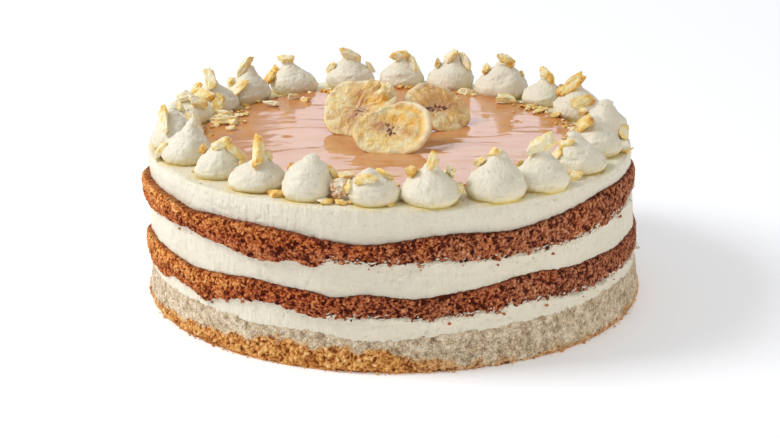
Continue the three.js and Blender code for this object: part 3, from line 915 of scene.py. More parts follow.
@dataclass(frozen=True)
class ScrapedFace:
    """What a scraper leaves on cream: slow swells, drag marks both ways, pocks and torn dents."""

    swell: float = 0.22
    swell_width: float = 22.0
    upright_mark: float = 0.2
    level_mark: float = 0.16
    mark_width: float = 4.0
    pock: float = 0.16
    pock_width: float = 2.2
    dent: float = 0.6
    dent_width: float = 3.6

    def relief(self, flat: Array, seed: int) -> Array:
        """The relief of the face.

        Args:
            flat: Places on the smooth side.
            seed: Which relief.

        Returns:
            How far each place stands out.
        """
        upright = drift(flat * np.array([1, 1, 0.25]), self.mark_width, seed, 3)
        level = drift(flat * np.array([0.4, 0.4, 1.3]), self.mark_width, seed + 14, 2)
        pocks = drift(flat * np.array([1, 1, 0.6]), self.pock_width, seed + 5, 3)
        uneven = flat * np.array([1, 1, 1.3]) + 0.5 * drift(flat, 1.5, seed + 9)[:, None]
        near, _, owner = bubbles(uneven, self.dent_width, seed + 8)
        dents = self.dent * smooth(-near, -0.34, -0.08) * smooth(owner, 0.5, 0.8)
        swell = self.swell * drift(flat, self.swell_width, seed + 3)
        return swell + self.upright_mark * upright + self.level_mark * level + self.pock * pocks - dents


@dataclass
class CreamBand:
    """A layer of scraped cream between two layers of sponge."""

    name: str
    node: str
    below: Boundary
    above: Boundary
    outset: float = -0.2
    around: int = 900
    rows: int = 26
    # How far the layer goes in behind its neighbours, and how thick the dragged cream is
    tuck: float = 2.2
    smear: float = 4.0
    inset: float = 6.0
    seed: int = 5

    def side(self) -> tuple[Array, Array, Array]:
        """The side's grid.

        Returns:
            Its bearings, its heights and its points, in the shape (rows, around).
        """
        bearing = all_round(self.around)
        low = self.below.height(bearing)
        high = self.above.height(bearing)
        share = np.linspace(0, 1, self.rows)[:, None]
        height = (low - self.tuck) + (high - low + 2 * self.tuck) * share
        bearings = np.broadcast_to(bearing, height.shape)
        beyond = np.maximum(low - height, height - high)
        out = self.outset - 0.5 * np.clip(beyond - 0.4, 0, None) ** 1.3
        flat = FORM.point(bearings, height, out).reshape(-1, 3)
        relief = ScrapedFace().relief(flat, self.seed)
        # Cream that the knife dragged up over the sponge's lower edge
        upper = bell(height - high - 0.3, 1.0).ravel()
        patchy = smooth(drift(flat * np.array([1, 1, 0.6]), 2.4, self.seed + 6, 3), 0.15, 0.8)
        dragged = self.smear * upper * patchy * (0.15 + 0.85 * smooth(bearings.ravel(), -112, -92))
        stand = (relief + dragged).reshape(height.shape)
        return bearings, height, FORM.point(bearings, height, out + stand)

    def body(self) -> Body:
        """Builds the layer as one closed body."""
        bearings, height, side = self.side()
        inner = np.full(self.around, -self.inset)
        low_in = FORM.point(bearings[0], height[0], inner)
        high_in = FORM.point(bearings[-1], height[-1], inner)
        rings = np.concatenate([low_in[None], side, high_in[None]])
        middle = FORM.top_shift_x * 0.5
        low = np.array([middle, 0, self.below.level - 1])
        made = rings_closed(rings, low, np.array([middle, 0, self.above.level + 1]))
        made.laid["foot_shade"] = np.zeros(len(made.points))
        return made

    def make(self, finish: Material, slot: str) -> Object:
        """Builds and dresses the layer."""
        return self.body().piece(self.name, finish, slot, (self.node,))


# Dollops, nuts and what else lies on top


@dataclass(frozen=True)
class Nut:
    """A chopped nut on a dollop: bearing, share of the dollop's rise, length, lean, facing."""

    bearing: float
    climb: float
    length: float
    lean: float
    face: float = 35.0


@dataclass(frozen=True)
class Dollop:
    """A piped dollop of cream with the nuts on it."""

    bearing: float
    reach: float
    girth: float
    rise: float
    tip: tuple[float, float]
    nuts: tuple[tuple[float, ...], ...] = ()
    shoulder: float = 1.55
    nib: float | None = None
    # Where it is widest, how it tapers above and how wide its foot is
    belly: float = 0.2
    taper: float = 0.92
    foot_width: float = 0.88
    # How high its folds stand and how deep its torn dents go
    fold: float = 0.28
    dent: float = 0.7
    around: int = 64
    rows: int = 36
    # The nib's rounded end: rings as (share of its width, rise)
    end: tuple[tuple[float, float], ...] = ((0.85, 0.28), (0.5, 0.5))

    def foot(self) -> Array:
        """The middle of its underside."""
        angle = math.radians(self.bearing)
        return np.array([
            FORM.top_shift_x + self.reach * math.cos(angle), self.reach * math.sin(angle), FORM.height,
        ])

    def width(self, climb: Array) -> Array:
        """Its radius at shares of its rise."""
        foot, belly = self.foot_width, self.belly
        low = foot + (1 - foot) * np.sin(math.pi / 2 * np.clip(climb / belly, 0, 1))
        above = np.clip((climb - belly) / (1 - belly), 0, 1)
        return self.girth * np.where(climb < belly, low, (1 - above**self.shoulder) ** self.taper)

    def axis(self, climb: Array) -> Array:
        """Points on its axis, which bends towards the leaning tip."""
        climb = np.asarray(climb, float)
        lean = np.stack([self.tip[0] * climb**2, self.tip[1] * climb**2, self.rise * climb], axis=-1)
        return self.foot() + lean

    def relief(self, flat: Array, random: np.random.Generator, seed: int) -> Array:
        """What the nozzle leaves: soft swells, torn dents and three slanting folds.

        Args:
            flat: Places on the smooth dollop.
            random: Where the folds' places come from.
            seed: Which swells and dents.

        Returns:
            How far each place stands out.
        """
        soft = 0.8 * drift(flat, 7.5, seed, 2) + 0.2 * drift(flat, 3.0, seed + 4, 2)
        near, _, owner = bubbles(flat + 0.4 * drift(flat, 1.5, seed + 9)[:, None], 3.0, seed + 5)
        dents = self.dent * smooth(-near, -0.36, -0.1) * smooth(owner, 0.5, 0.75)
        off = flat[:, :2] - self.foot()[:2]
        folds = np.zeros(len(flat))
        for _ in range(3):
            turn, tilt = random.uniform(0, 2 * math.pi), random.uniform(0.1, 0.4)
            level = FORM.height + self.rise * random.uniform(0.3, 0.75)
            over = flat[:, 2] + tilt * (off[:, 0] * math.cos(turn) + off[:, 1] * math.sin(turn)) - level
            side = 0.5 + 0.5 * np.cos(np.arctan2(off[:, 1], off[:, 0]) - turn)
            folds += self.fold * side * (bell(over + 0.5, 0.7) - 0.8 * bell(over - 0.5, 0.6))
        return soft + folds - dents

    def body(self, seed: int) -> Body:
        """Builds the cream as one closed body.

        Args:
            seed: Which small unevenness it has.

        Returns:
            The body.
        """
        climb = np.linspace(0, 1, self.rows)[:, None] ** 0.85
        angle = np.linspace(0, 2 * math.pi, self.around, endpoint=False)[None]
        lobe = 1 + 0.02 * np.cos(2 * angle + self.bearing) + 0.012 * np.cos(3 * angle + self.reach)
        random = np.random.default_rng(seed)
        waist, nib = random.uniform(0.0, 1.0), random.uniform(0.9, 2.2)
        waist, nib = (waist, nib) if self.nib is None else (-0.9, self.nib)
        radius = self.width(climb) - waist * bell(climb - 0.72, 0.14) + nib * smooth(climb, 0.86, 0.97)
        radius = np.maximum(radius, nib * 0.8) * lobe
        axis = self.axis(climb[:, 0])
        x = axis[:, 0, None] + radius * np.cos(angle)
        y = axis[:, 1, None] + radius * np.sin(angle)
        z = np.broadcast_to(axis[:, 2, None], x.shape)
        # The rounded end of the nib
        for share, rise in self.end:
            x = np.concatenate([x, x[-1:] * share + axis[-1, 0] * (1 - share)])
            y = np.concatenate([y, y[-1:] * share + axis[-1, 1] * (1 - share)])
            z = np.concatenate([z, z[self.rows - 1 : self.rows] + rise])
        points = np.stack([x, y, z], axis=-1)
        relief = self.relief(points.reshape(-1, 3), random, seed)
        out = np.stack([np.cos(angle) + 0 * x, np.sin(angle) + 0 * x, 0 * x + 0.3], axis=-1)
        spread = np.hypot(x - x.mean(axis=1, keepdims=True), y - y.mean(axis=1, keepdims=True))
        stand = (relief.reshape(x.shape) * np.minimum(1, spread / 4))[..., None]
        rings = points + out * stand
        rings[0, :, 2] = FORM.height - 0.3
        low = self.foot() - np.array([0, 0, 0.3])
        tip = np.array([rings[-1, :, k].mean() for k in range(3)]) + np.array([0, 0, 0.12])
        made = rings_closed(rings, low, tip)
        # Painted shade: a darker yellow tint, strongest at the dollop's foot
        made.laid["foot_shade"] = np.exp(-((made.points[:, 2] - FORM.height) / 1.8))
        return made


def icosphere(divisions: int) -> tuple[Array, Array]:
    """The points and triangles of a ball of radius 1 with even triangles.

    Args:
        divisions: How many times each triangle of the 20-sided solid is split in four.

    Returns:
        The points and the triangles.
    """
    golden = (1 + 5**0.5) / 2
    corners = [
        (-1, golden, 0), (1, golden, 0), (-1, -golden, 0), (1, -golden, 0), (0, -1, golden), (0, 1, golden),
        (0, -1, -golden), (0, 1, -golden), (golden, 0, -1), (golden, 0, 1), (-golden, 0, -1), (-golden, 0, 1),
    ]
    faces = [
        (0, 11, 5), (0, 5, 1), (0, 1, 7), (0, 7, 10), (0, 10, 11), (1, 5, 9), (5, 11, 4), (11, 10, 2),
        (10, 7, 6), (7, 1, 8), (3, 9, 4), (3, 4, 2), (3, 2, 6), (3, 6, 8), (3, 8, 9), (4, 9, 5), (2, 4, 11),
        (6, 2, 10), (8, 6, 7), (9, 8, 1),
    ]
    points = [np.array(c) / np.linalg.norm(c) for c in corners]
    for _ in range(divisions):
        middles: dict[tuple[int, int], int] = {}
        split = []
        for a, b, c in faces:
            new = []
            for pair in ((a, b), (b, c), (c, a)):
                key = (min(pair), max(pair))
                if key not in middles:
                    middle = points[pair[0]] + points[pair[1]]
                    middles[key] = len(points)
                    points.append(middle / np.linalg.norm(middle))
                new.append(middles[key])
            ab, bc, ca = new
            split += [(a, ab, ca), (b, bc, ab), (c, ca, bc), (ab, bc, ca)]
        faces = split
    return np.array(points), np.array(faces)


@dataclass
class Chopper:
    """Makes chunks with flat broken faces, as a knife makes of nuts and a fork of cake."""

    divisions: int = 3
    cuts: int = 6
    seed: int = 11

    def __post_init__(self) -> None:
        """Makes the fine ball that every chunk is cut from."""
        self.ball, self.triangles = icosphere(self.divisions)
        self.random = np.random.default_rng(self.seed)

    def chunk(self, shares: tuple[float, float, float], crags: float = 0.05) -> Array:
        """The points of one chunk about 1 long.

        Args:
            shares: Its length, width and thickness.
            crags: Height of its small crags.

        Returns:
            The points, in the order of the ball's.
        """
        box = np.concatenate([np.eye(3), -np.eye(3)]) + self.random.normal(scale=0.3, size=(6, 3))
        normals = np.concatenate([box, self.random.normal(size=(self.cuts, 3))])
        normals /= np.linalg.norm(normals, axis=1)[:, None]
        away = np.concatenate([self.random.uniform(0.62, 0.96, 6), self.random.uniform(0.6, 1.0, self.cuts)])
        facing = np.clip(self.ball @ normals.T, 0.02, None)
        reach = np.minimum((away / facing).min(axis=1), 1.22)
        offset = self.random.uniform(0, 90, 3)
        reach = reach + crags * drift(self.ball + offset, 0.4, self.seed, 2)
        reach = reach + crags * drift(self.ball + offset, 1.2, self.seed + 1)
        return 0.5 * self.ball * reach[:, None] * np.array(shares)


@dataclass
class NutPieces:
    """Chopped nuts, lying on cream or caramel."""

    chopper: Chopper = field(default_factory=Chopper)
    flatness: float = 0.48
    edge_toast: float = 0.22
    end_toast: float = 0.1
    patch_toast: float = 0.16

    def piece(self, centre: Array, along: Array, facing: Array, length: float, toast: float) -> Body:
        """One nut.

        Args:
            centre: Its middle.
            along: Its long direction.
            facing: The direction of its broad face.
            length: Its length.
            toast: How browned it is, from 0 to 1.

        Returns:
            The nut as a closed body.
        """
        wide = 0.88 - 0.034 * length
        vary = self.chopper.random.uniform(0.8, 1.2, 2)
        shares = (length * 1.2, length * wide * vary[0] * 1.15, length * self.flatness * vary[1])
        local = self.chopper.chunk(shares, 0.14)
        across = np.cross(facing, along)
        turned = local @ np.stack([along, across, facing])
        points = centre + turned
        # Edges and one end catch more heat than the broken middle of a face
        edge = np.linalg.norm(local / (length * np.array([1, wide, self.flatness])), axis=1)
        end = smooth(local[:, 0] / length, 0.0, 0.5)
        value = toast + self.edge_toast * smooth(edge, 0.42, 0.6) + self.end_toast * end
        value = value + self.patch_toast * drift(points, 2.4, 7, 2)
        return Body(points, [self.chopper.triangles], {"toast": np.clip(value, 0, 1)})

    def on_dollop(self, dollop: Dollop, nut: Nut, toast: float) -> Body:
        """A nut stuck to a dollop's side."""
        turn, lean, face = math.radians(nut.bearing), math.radians(nut.lean), math.radians(nut.face)
        outward = heading(turn)
        facing = outward * math.cos(face) + np.array([0, 0, math.sin(face)])
        side = np.array([-math.sin(turn), math.cos(turn), 0.0])
        up = np.cross(facing, side)
        along = side * math.cos(lean) + up * math.sin(lean)
        place = dollop.axis(nut.climb) + outward * dollop.width(np.array(nut.climb))
        place = place + facing * nut.length * self.flatness * 0.12
        place[2] += nut.length * 0.2 * nut.climb**3 * abs(math.sin(lean))
        return self.piece(place, along, facing, nut.length, toast)

    def lying(self, x: float, y: float, level: float, length: float, turn: float, toast: float) -> Body:
        """A nut lying flat.

        Args:
            x: Where it lies.
            y: Where it lies.
            level: Height of what it lies on.
            length: Its length.
            turn: The bearing of its long direction in degrees.
            toast: How browned it is.

        Returns:
            The nut as a closed body.
        """
        angle = math.radians(turn)
        along = heading(angle)
        tilt = 0.25 * math.sin(7 * angle + x)
        facing = np.array([-math.sin(angle) * tilt, math.cos(angle) * tilt, 1.0])
        facing /= np.linalg.norm(facing)
        centre = np.array([x, y, level + length * self.flatness * 0.28])
        return self.piece(centre, along, facing, length, toast)


DOLLOPS = (
    Dollop(
        -140.3, 96.8, 10.4, 16.6, (4, 0.5),
        ((150, 0.6, 9, 25), (-112, 0.86, 7.5, 30), (-28, 0.66, 8.5, 115), (-10, 0.4, 8, 10)), 1.8,
    ),
    Dollop(-125.4, 97, 12.2, 14.6, (2.8, 0.5), ((-150, 0.95, 12.5, 128), (0, 0.9, 5, 60)), 1.7),
    Dollop(
        -110.1, 98.5, 11.5, 17.6, (1.6, 0.6),
        ((140, 0.62, 6.5, 20), (0, 0.58, 5.5, 60), (-14, 0.32, 5.5, 70)), 2.1, 1.9,
    ),
    Dollop(
        -93.8, 100, 10.5, 13.8, (-1.4, 0.4),
        ((-112, 0.8, 8.5, 15), (-172, 0.5, 8, 10), (40, 0.7, 7, 0)), 2.3,
    ),
    Dollop(
        -80.1, 100, 12.9, 16.2, (0.8, 0),
        ((-90, 0.97, 8.5, 75), (150, 0.6, 13.5, 35), (30, 0.6, 13, -38), (-3, 0.35, 6.5, 10)), 1.5,
    ),
    Dollop(-63.8, 101.4, 12.9, 19.4, (2, 0.6), ((-165, 0.94, 6.5, 30), (165, 0.68, 7, 40)), 1.6),
    Dollop(-50.6, 102, 11.7, 17.4, (0.6, 0), ((-130, 0.97, 12.5, 42), (165, 0.55, 5.5, 30)), 1.6),
    Dollop(-32.2, 98.5, 12.4, 16.4, (-2.4, 0.8), ((-140, 0.74, 7, 20), (-150, 0.45, 6, 60)), 1.5),
    Dollop(
        -15.5, 97.6, 12.2, 16.6, (-1.5, 0),
        ((-150, 0.8, 9.5, 50), (175, 0.5, 10, 10), (150, 0.72, 7, 40)), 1.7,
    ),
    Dollop(3, 100.2, 11.9, 16.4, (1, -1), ((160, 0.55, 8, 40), (-40, 0.2, 7.5, 30)), 1.9),
    Dollop(
        22.5, 98.8, 12.3, 15.8, (-0.5, 1),
        ((-140, 0.95, 11.5, 65), (-84, 0.55, 9.5, 20), (175, 0.75, 7.5, 0)), 1.7,
    ),
    Dollop(39.2, 98.6, 10.6, 13.6, (2.2, 1), ((-90, 0.96, 9.5, -45), (-20, 0.45, 9, 20)), 1.5),
    Dollop(
        54.3, 97.5, 13.6, 17.6, (0.8, 0),
        ((-40, 0.93, 10.5, -55), (170, 0.7, 8, 20), (0, 0.6, 5, 20)), 1.7,
    ),
    Dollop(
        71.6, 99.4, 12, 17.4, (3.4, 0.6),
        ((168, 0.68, 9, 15), (-140, 0.92, 8, 60), (-22, 0.8, 9, 80)), 1.9,
    ),
    Dollop(86.4, 99, 11.4, 15.4, (-0.4, 0), ((-90, 0.97, 9.5, 8, 70), (-10, 0.72, 8.5, 60)), 1.6),
    Dollop(
        101.4, 99.5, 12.5, 15.8, (-1.4, 0.4),
        ((-50, 0.96, 10.5, -40), (178, 0.6, 7.5, 60), (0, 0.55, 6.5, 60)), 1.9,
    ),
    Dollop(119, 99.6, 11.8, 16.6, (-4, 0.5), ((-110, 0.97, 8, 10, 65), (-175, 0.48, 11, -40)), 1.7),
    Dollop(
        136, 99.2, 11.6, 17.4, (2, 0.5),
        ((-170, 0.55, 9, 0), (-110, 0.45, 8.5, 30), (-160, 0.92, 10.5, 100)), 1.5,
    ),
    Dollop(
        150.4, 98.6, 11.7, 15.2, (-1.5, 0.4),
        ((-112, 0.62, 9, -10), (-72, 0.38, 9, 60), (-90, 0.95, 10.5, 100), (165, 0.62, 8, 40)), 1.8,
    ),
    Dollop(
        163.4, 98.8, 10.7, 14.8, (-3, 0.5),
        ((-100, 0.85, 7.5, 20), (-45, 0.7, 9, -30), (-128, 0.38, 9.5, -25)), 1.8,
    ),
    Dollop(
        176, 98.8, 10.8, 13.6, (-2.5, 0),
        ((-30, 0.5, 9.5, 80), (-100, 0.62, 9, 130), (0, 0.9, 6, 30)), 1.8,
    ),
    Dollop(-171, 99.4, 11, 16.4, (-1, 0.6), ((-120, 0.72, 12, 120), (60, 0.6, 7, 40)), 1.7),
    Dollop(-156.6, 98.6, 11.1, 18.6, (3.4, 0.8), ((180, 0.24, 9.5, 85), (70, 0.6, 8, 20)), 1.5),
)

CARAMEL_LEVEL = 73.3
# Each nut that lies flat: where, its length and the bearing of its long direction
NUTS_ON_CREAM = (
    (-50.2, -92.6, 6.8, 20), (-28.5, -103.2, 6, 40), (-23, -104.6, 5.4, -20), (-2, -106.6, 4, 60),
    (78.4, -67.6, 8, 70), (-106.2, -34.6, 5.5, 60), (104.6, -25.6, 7, 30),
)
NUTS_ON_CARAMEL = (
    (-60.4, 50.6, 8, -10), (-51, 64.6, 6.2, 15), (-44.6, 60.3, 5.6, -40), (36.2, 73.6, 8, 15),
    (55.4, 57.6, 9.5, 10), (-81.6, 19.4, 10.5, 20), (72.5, 41.4, 5, 0), (66.4, 46.4, 4.4, 50),
    (-33.6, 79.6, 4.4, 30), (-77.4, 6.4, 4.6, 0), (-21, -72, 7, 10),
)


@dataclass
class DollopRing:
    """The ring of piped dollops, each with its chopped nuts."""

    nuts: NutPieces
    dollops: tuple[Dollop, ...] = DOLLOPS
    seed: int = 300

    def make(self, cream: Material, nut: Material, slot: str) -> None:
        """Builds and dresses every dollop and its nuts."""
        random = np.random.default_rng(self.seed)
        for number, dollop in enumerate(self.dollops, 1):
            node = f"dollop_{number:02d}"
            dollop.body(self.seed + 7 * number).piece(f"piped_{node}", cream, slot, (node,))
            bits = [self.nuts.on_dollop(dollop, Nut(*n), random.uniform(0.05, 0.42)) for n in dollop.nuts]
            gathered(bits).piece(f"nuts_on_{node}", nut, slot, (node,), soft=False)


@dataclass
class CreamTop(CreamBand):
    """The top layer of cream: its scraped side, its rim and its flat top."""

    rim_round: float = 1.7
    top_swell: float = 0.3
    inside: tuple[float, ...] = (2.0, 2.5, 3.2, 4.0, 5.0, 6.2, 7.6, 9.5, 12.0, 15.0, 20.0, 27.0, 36.0, 60.0)

    def body(self) -> Body:
        """Builds the layer as one closed body."""
        bearing = all_round(self.around)
        below = self.below.height(bearing)
        low = below - self.tuck
        share = np.linspace(0, 1, self.rows)[:, None]
        height = low + (FORM.height - low) * share
        bearings = np.broadcast_to(bearing, height.shape)
        climb = np.clip((height - below) / (FORM.height - below), 0, 1)
        swell = np.interp(climb.ravel(), (0, 0.55, 0.9, 0.965, 1), (-0.5, 0.1, -0.1, -0.55, -self.rim_round))
        out = self.outset + swell.reshape(height.shape)
        out = out - 0.5 * np.clip(below - height - 0.4, 0, None) ** 1.3
        flat = FORM.point(bearings, height, out).reshape(-1, 3)
        out = out + ScrapedFace().relief(flat, self.seed).reshape(height.shape)
        low_in = FORM.point(bearing, low, np.full(self.around, -self.inset))
        rings = [low_in[None], FORM.point(bearings, height, out)]
        for inward in self.inside:
            ring = FORM.point(bearing, np.full(self.around, FORM.height), np.full(self.around, -inward))
            ring[:, 2] += self.top_swell * drift(ring, 8.0, self.seed + 12, 3)
            rings.append(ring[None])
        ends = [np.array([FORM.top_shift_x, 0, level]) for level in (self.below.level - 1, FORM.height)]
        made = rings_closed(np.concatenate(rings), *ends)
        points = made.points
        # Painted shade: a darker yellow tint round the foot of each dollop, on the layer under it
        foot_shade = np.zeros(len(points))
        top = points[:, 2] > FORM.height - 1.2
        for dollop in DOLLOPS:
            away = np.linalg.norm(points[:, :2] - dollop.foot()[:2], axis=1) - dollop.girth * 0.88
            foot_shade = np.maximum(foot_shade, top * np.exp(-np.clip(away, 0, None) / 2.2))
        made.laid["foot_shade"] = foot_shade
        return made


@dataclass
class CaramelPool:
    """The pool of caramel inside the ring of dollops."""

    radius: float = 88.5
    level: float = CARAMEL_LEVEL
    underside: float = 71.9
    around: int = 360
    rings: int = 84
    ridge: float = 0.14
    pit: float = 0.9
    pits: Spots = ((-50.6, -4.9, 2.0), (58.3, 21.7, 2.2), (12.0, 52.0, 1.6), (-20.0, 40.0, 1.5))
    seed: int = 40

    def surface(self, flat: Array) -> Array:
        """Height of the pool's top at places on it."""
        long = flat * np.array([0.45, 1.0, 1.0])
        swell = 0.36 * drift(long, 14.0, self.seed) + 0.3 * drift(flat, 34.0, self.seed + 3)
        sharp = smooth(1 - np.abs(drift(long, 16.0, self.seed + 5, 2)), 0.8, 1.0)
        height = self.level + swell + self.ridge * sharp + 0.07 * drift(long, 4.5, self.seed + 8, 2)
        for x, y, width in self.pits:
            away = np.hypot(flat[:, 0] - x, flat[:, 1] - y) / width
            height -= self.pit * np.exp(-(away**2) * 2.2)
            height += 0.06 * np.exp(-((away - 1.4) ** 2) * 12)
        return height

    def body(self) -> Body:
        """Builds the pool as one closed body."""
        angle = np.linspace(0, 2 * math.pi, self.around, endpoint=False)[None]
        share = (np.linspace(0, 1, self.rings)[1:] ** 0.7)[::-1, None]
        wander = 1 + 0.008 * np.sin(4 * angle + 1) + 0.005 * np.sin(9 * angle)
        radius = self.radius * wander * share
        x = FORM.top_shift_x + radius * np.cos(angle)
        y = radius * np.sin(angle)
        flat = np.stack([x, y, np.full(x.shape, self.level)], axis=-1)
        top = self.surface(flat.reshape(-1, 3)).reshape(x.shape)
        edge = np.clip((self.radius * wander - radius) / 1.2, 0, 1)
        top = self.underside + (top - self.underside) * np.sqrt(1 - (1 - edge) ** 2)
        rings = np.stack([x, y, top], axis=-1)
        bottom = np.stack([x[0], y[0], np.full(self.around, self.underside - 0.2)], axis=-1)[None]
        centre = np.array([FORM.top_shift_x, 0, 0])
        made = rings_closed(
            np.concatenate([bottom, rings]),
            centre + [0, 0, self.underside - 0.2],
            centre + [0, 0, float(top[-1].mean())],
        )
        points = made.points
        away = self.radius - np.hypot(points[:, 0] - FORM.top_shift_x, points[:, 1])
        # Painted shade: darker towards the pool's edge, where the dollops stand
        made.laid["edge_shade"] = 0.5 * np.exp(-np.clip(away, 0, None) / 9.0) - 0.1
        return made

    def make(self, finish: Material, slot: str) -> Object:
        """Builds and dresses the pool."""
        return self.body().piece("caramel_pool", finish, slot, ("caramel",))


@dataclass
class BananaSlice:
    """A dried slice of banana leaning in the caramel."""

    name: str
    node: str
    foot: tuple[float, float]
    facing: float
    slope: float
    radius: float
    middle: float
    cup: float
    outline: Spots
    thickness: float = 3.4
    # The rolled rim and the groove inside it, highest at one bearing
    rim_height: float = 0.8
    rim_at: float = 30.0
    groove: float = 1.0
    groove_depth: float = 0.7
    hollow: float = 1.0
    # Heights of the flesh's radial fibres, swells, grit and wrinkles
    fibre: float = 0.16
    rough: float = 0.3
    grit: float = 0.1
    wrinkle: float = 0.4
    tanned: float = 0.45
    blush: float = 0.5
    # The core with the seeds: its middle and its half widths
    core: tuple[float, float, float, float] = (0.0, 0.0, 3.0, 2.6)
    seed_count: int = 10
    # Coloured spots as (x, y, width), lumps as (x, y, width, height), folds as (x, y, turn)
    bruises: Spots = ()
    golds: Spots = ()
    pinks: Spots = ()
    lumps: tuple[tuple[float, float, float, float], ...] = ()
    folds: Spots = ()
    sunk: float = 1.2
    seed: int = 60
    around: int = 200

    def frame(self) -> tuple[Array, Array, Array, Array]:
        """The directions across, up and out of the slice, and its middle."""
        face, slope = math.radians(self.facing), math.radians(self.slope)
        across = np.array([-math.sin(face), math.cos(face), 0.0])
        uphill = -heading(face) * math.cos(slope) + np.array([0, 0, math.sin(slope)])
        normal = np.cross(across, uphill)
        centre = np.array([self.foot[0], self.foot[1], CARAMEL_LEVEL]) + uphill * self.middle
        return across, uphill, normal, centre

    def body(self) -> Body:
        """Builds the slice as one closed body."""
        angle = np.linspace(0, 2 * math.pi, self.around, endpoint=False)[None]
        outline = np.ones_like(angle)
        for lobes, part, at in self.outline:
            outline = outline + part * np.cos(lobes * (angle - math.radians(at)))
        outline = outline + 0.012 * np.sin(9 * angle + self.seed)
        outline = outline + 0.008 * np.sin(15 * angle + 2 * self.seed)
        # Rings from under the slice, out round its edge and back over its face
        under = np.array([0.25, 0.5, 0.7, 0.84, 0.93, 0.98])
        over = 1 - np.linspace(0, 1, 40)[1:-1] ** 1.15
        reach = np.concatenate([under, [1.0], over])[:, None]
        sign = np.concatenate([-np.ones(len(under)), [0.0], np.ones(len(over))])[:, None]
        plump = (1 - np.clip(reach, 0, 1) ** 5) ** 0.5
        radius = self.radius * outline * reach
        u, v = radius * np.cos(angle), radius * np.sin(angle)
        w = sign * plump * self.thickness / 2 + 0 * u
        w = w + self.cup * reach**3 * np.cos(2 * angle + math.radians(30)) + self.cup * (reach**2 - 0.4)
        flat = np.stack([u, v, 0 * u], axis=-1).reshape(-1, 3)
        polar = np.stack([np.cos(angle) * 9 + 0 * u, np.sin(angle) * 9 + 0 * u, radius * 0.35], axis=-1)
        fibre = drift(polar.reshape(-1, 3), 1.6, self.seed, 2)
        rough = drift(flat, 2.6, self.seed + 3, 3)
        rim = bell(reach - 0.91, 0.09) * (sign >= 0) + 0 * u
        turned = angle - math.radians(self.rim_at)
        wave = 0.2 * np.sin(5 * angle + self.seed)
        rim_wave = np.clip(0.5 + 0.5 * np.cos(turned) + wave + 0.15 * np.sin(11 * angle), 0, 1.2) * rim
        face = (sign > 0) * smooth(1 - reach, 0.02, 0.16) + 0 * u
        hollow = bell(reach, 0.3) + 0 * u
        grit = drift(flat, 1.2, self.seed + 7, 2)
        wrinkle = smooth(1 - np.abs(drift(flat, 4.5, self.seed + 9, 2)), 0.8, 1.0)
        relief = self.fibre * fibre + self.rough * rough + self.grit * grit + self.wrinkle * wrinkle
        relief = face.ravel() * relief
        groove = bell(reach - 0.74, 0.07) * (sign > 0) * smooth(np.cos(turned), 0.1, 0.8)
        groove = self.groove * groove
        relief = relief - self.groove_depth * groove.ravel()
        relief = relief + (self.rim_height * rim_wave - self.hollow * hollow * (sign > 0)).ravel()
        stand = self.crumpled(flat, rough, w.ravel() + relief)
        across, uphill, normal, centre = self.frame()
        points = centre + flat[:, :1] * across + flat[:, 1:2] * uphill + stand[:, None] * normal
        low_limit = CARAMEL_LEVEL - self.sunk
        points[:, 2] = np.maximum(points[:, 2], low_limit)
        rings = points.reshape(*u.shape, 3)
        half = self.thickness / 2
        ends = [centre - normal * (half + 0.4 * self.cup), centre + normal * (half - 0.4 * self.cup - 0.8)]
        for end in ends:
            end[2] = max(end[2], low_limit)
        made = rings_closed(rings, *ends)
        made.laid = self.colouring(flat, rim_wave.ravel(), groove.ravel(), (sign + 0 * u).ravel(), rough)
        return made

    def crumpled(self, flat: Array, rough: Array, stand: Array) -> Array:
        """Adds the crumpled lumps and the folds.

        Args:
            flat: Places on the slice, seen face on.
            rough: The flesh's roughness.
            stand: How far each place stands out without them.

        Returns:
            How far each place stands out with them.
        """
        for x, y, size, high in self.lumps:
            away = np.hypot(flat[:, 0] - x, flat[:, 1] - y) / size
            away = away + 0.16 * drift(flat, 3.0, self.seed + 13, 2)
            stand = stand + high * smooth(-away, -1.05, -0.75) * (1 + 0.35 * rough)
        for x, y, turn in self.folds:
            along = math.radians(turn)
            off_x, off_y = flat[:, 0] - x, flat[:, 1] - y
            off = off_x * -math.sin(along) + off_y * math.cos(along)
            near = bell(off_x * math.cos(along) + off_y * math.sin(along), 5.5)
            stand = stand + near * (0.9 * bell(off, 0.9) - 0.7 * bell(off - 1.5, 0.8))
        return stand

    def seeds(self) -> Spots:
        """Where the dark seed specks are, and how wide, in millimetres on the slice's face."""
        random = np.random.default_rng(self.seed)
        found = []
        for number in range(self.seed_count):
            angle = 2 * math.pi * number / self.seed_count + random.uniform(-1.4, 1.4)
            reach = random.uniform(0.2, 1.3)
            x = self.core[0] + self.core[2] * reach * math.cos(angle)
            y = self.core[1] + self.core[3] * reach * math.sin(angle)
            found.append((x, y, random.uniform(0.28, 0.72)))
        return tuple(found)

    def colouring(
        self, flat: Array, rim: Array, groove: Array, sign: Array, rough: Array
    ) -> dict[str, Array]:
        """The values that the finish reads.

        Args:
            flat: Places on the slice, seen face on.
            rim: How much each is on the rolled rim.
            groove: How far each lies in the groove inside the rim.
            sign: 1 on the top face, -1 on the underside.
            rough: The flesh's roughness.

        Returns:
            The named values, with those of the two middle points added.
        """
        top = sign > 0
        seed, halo = np.zeros(len(flat)), np.zeros(len(flat))
        for x, y, width in self.seeds():
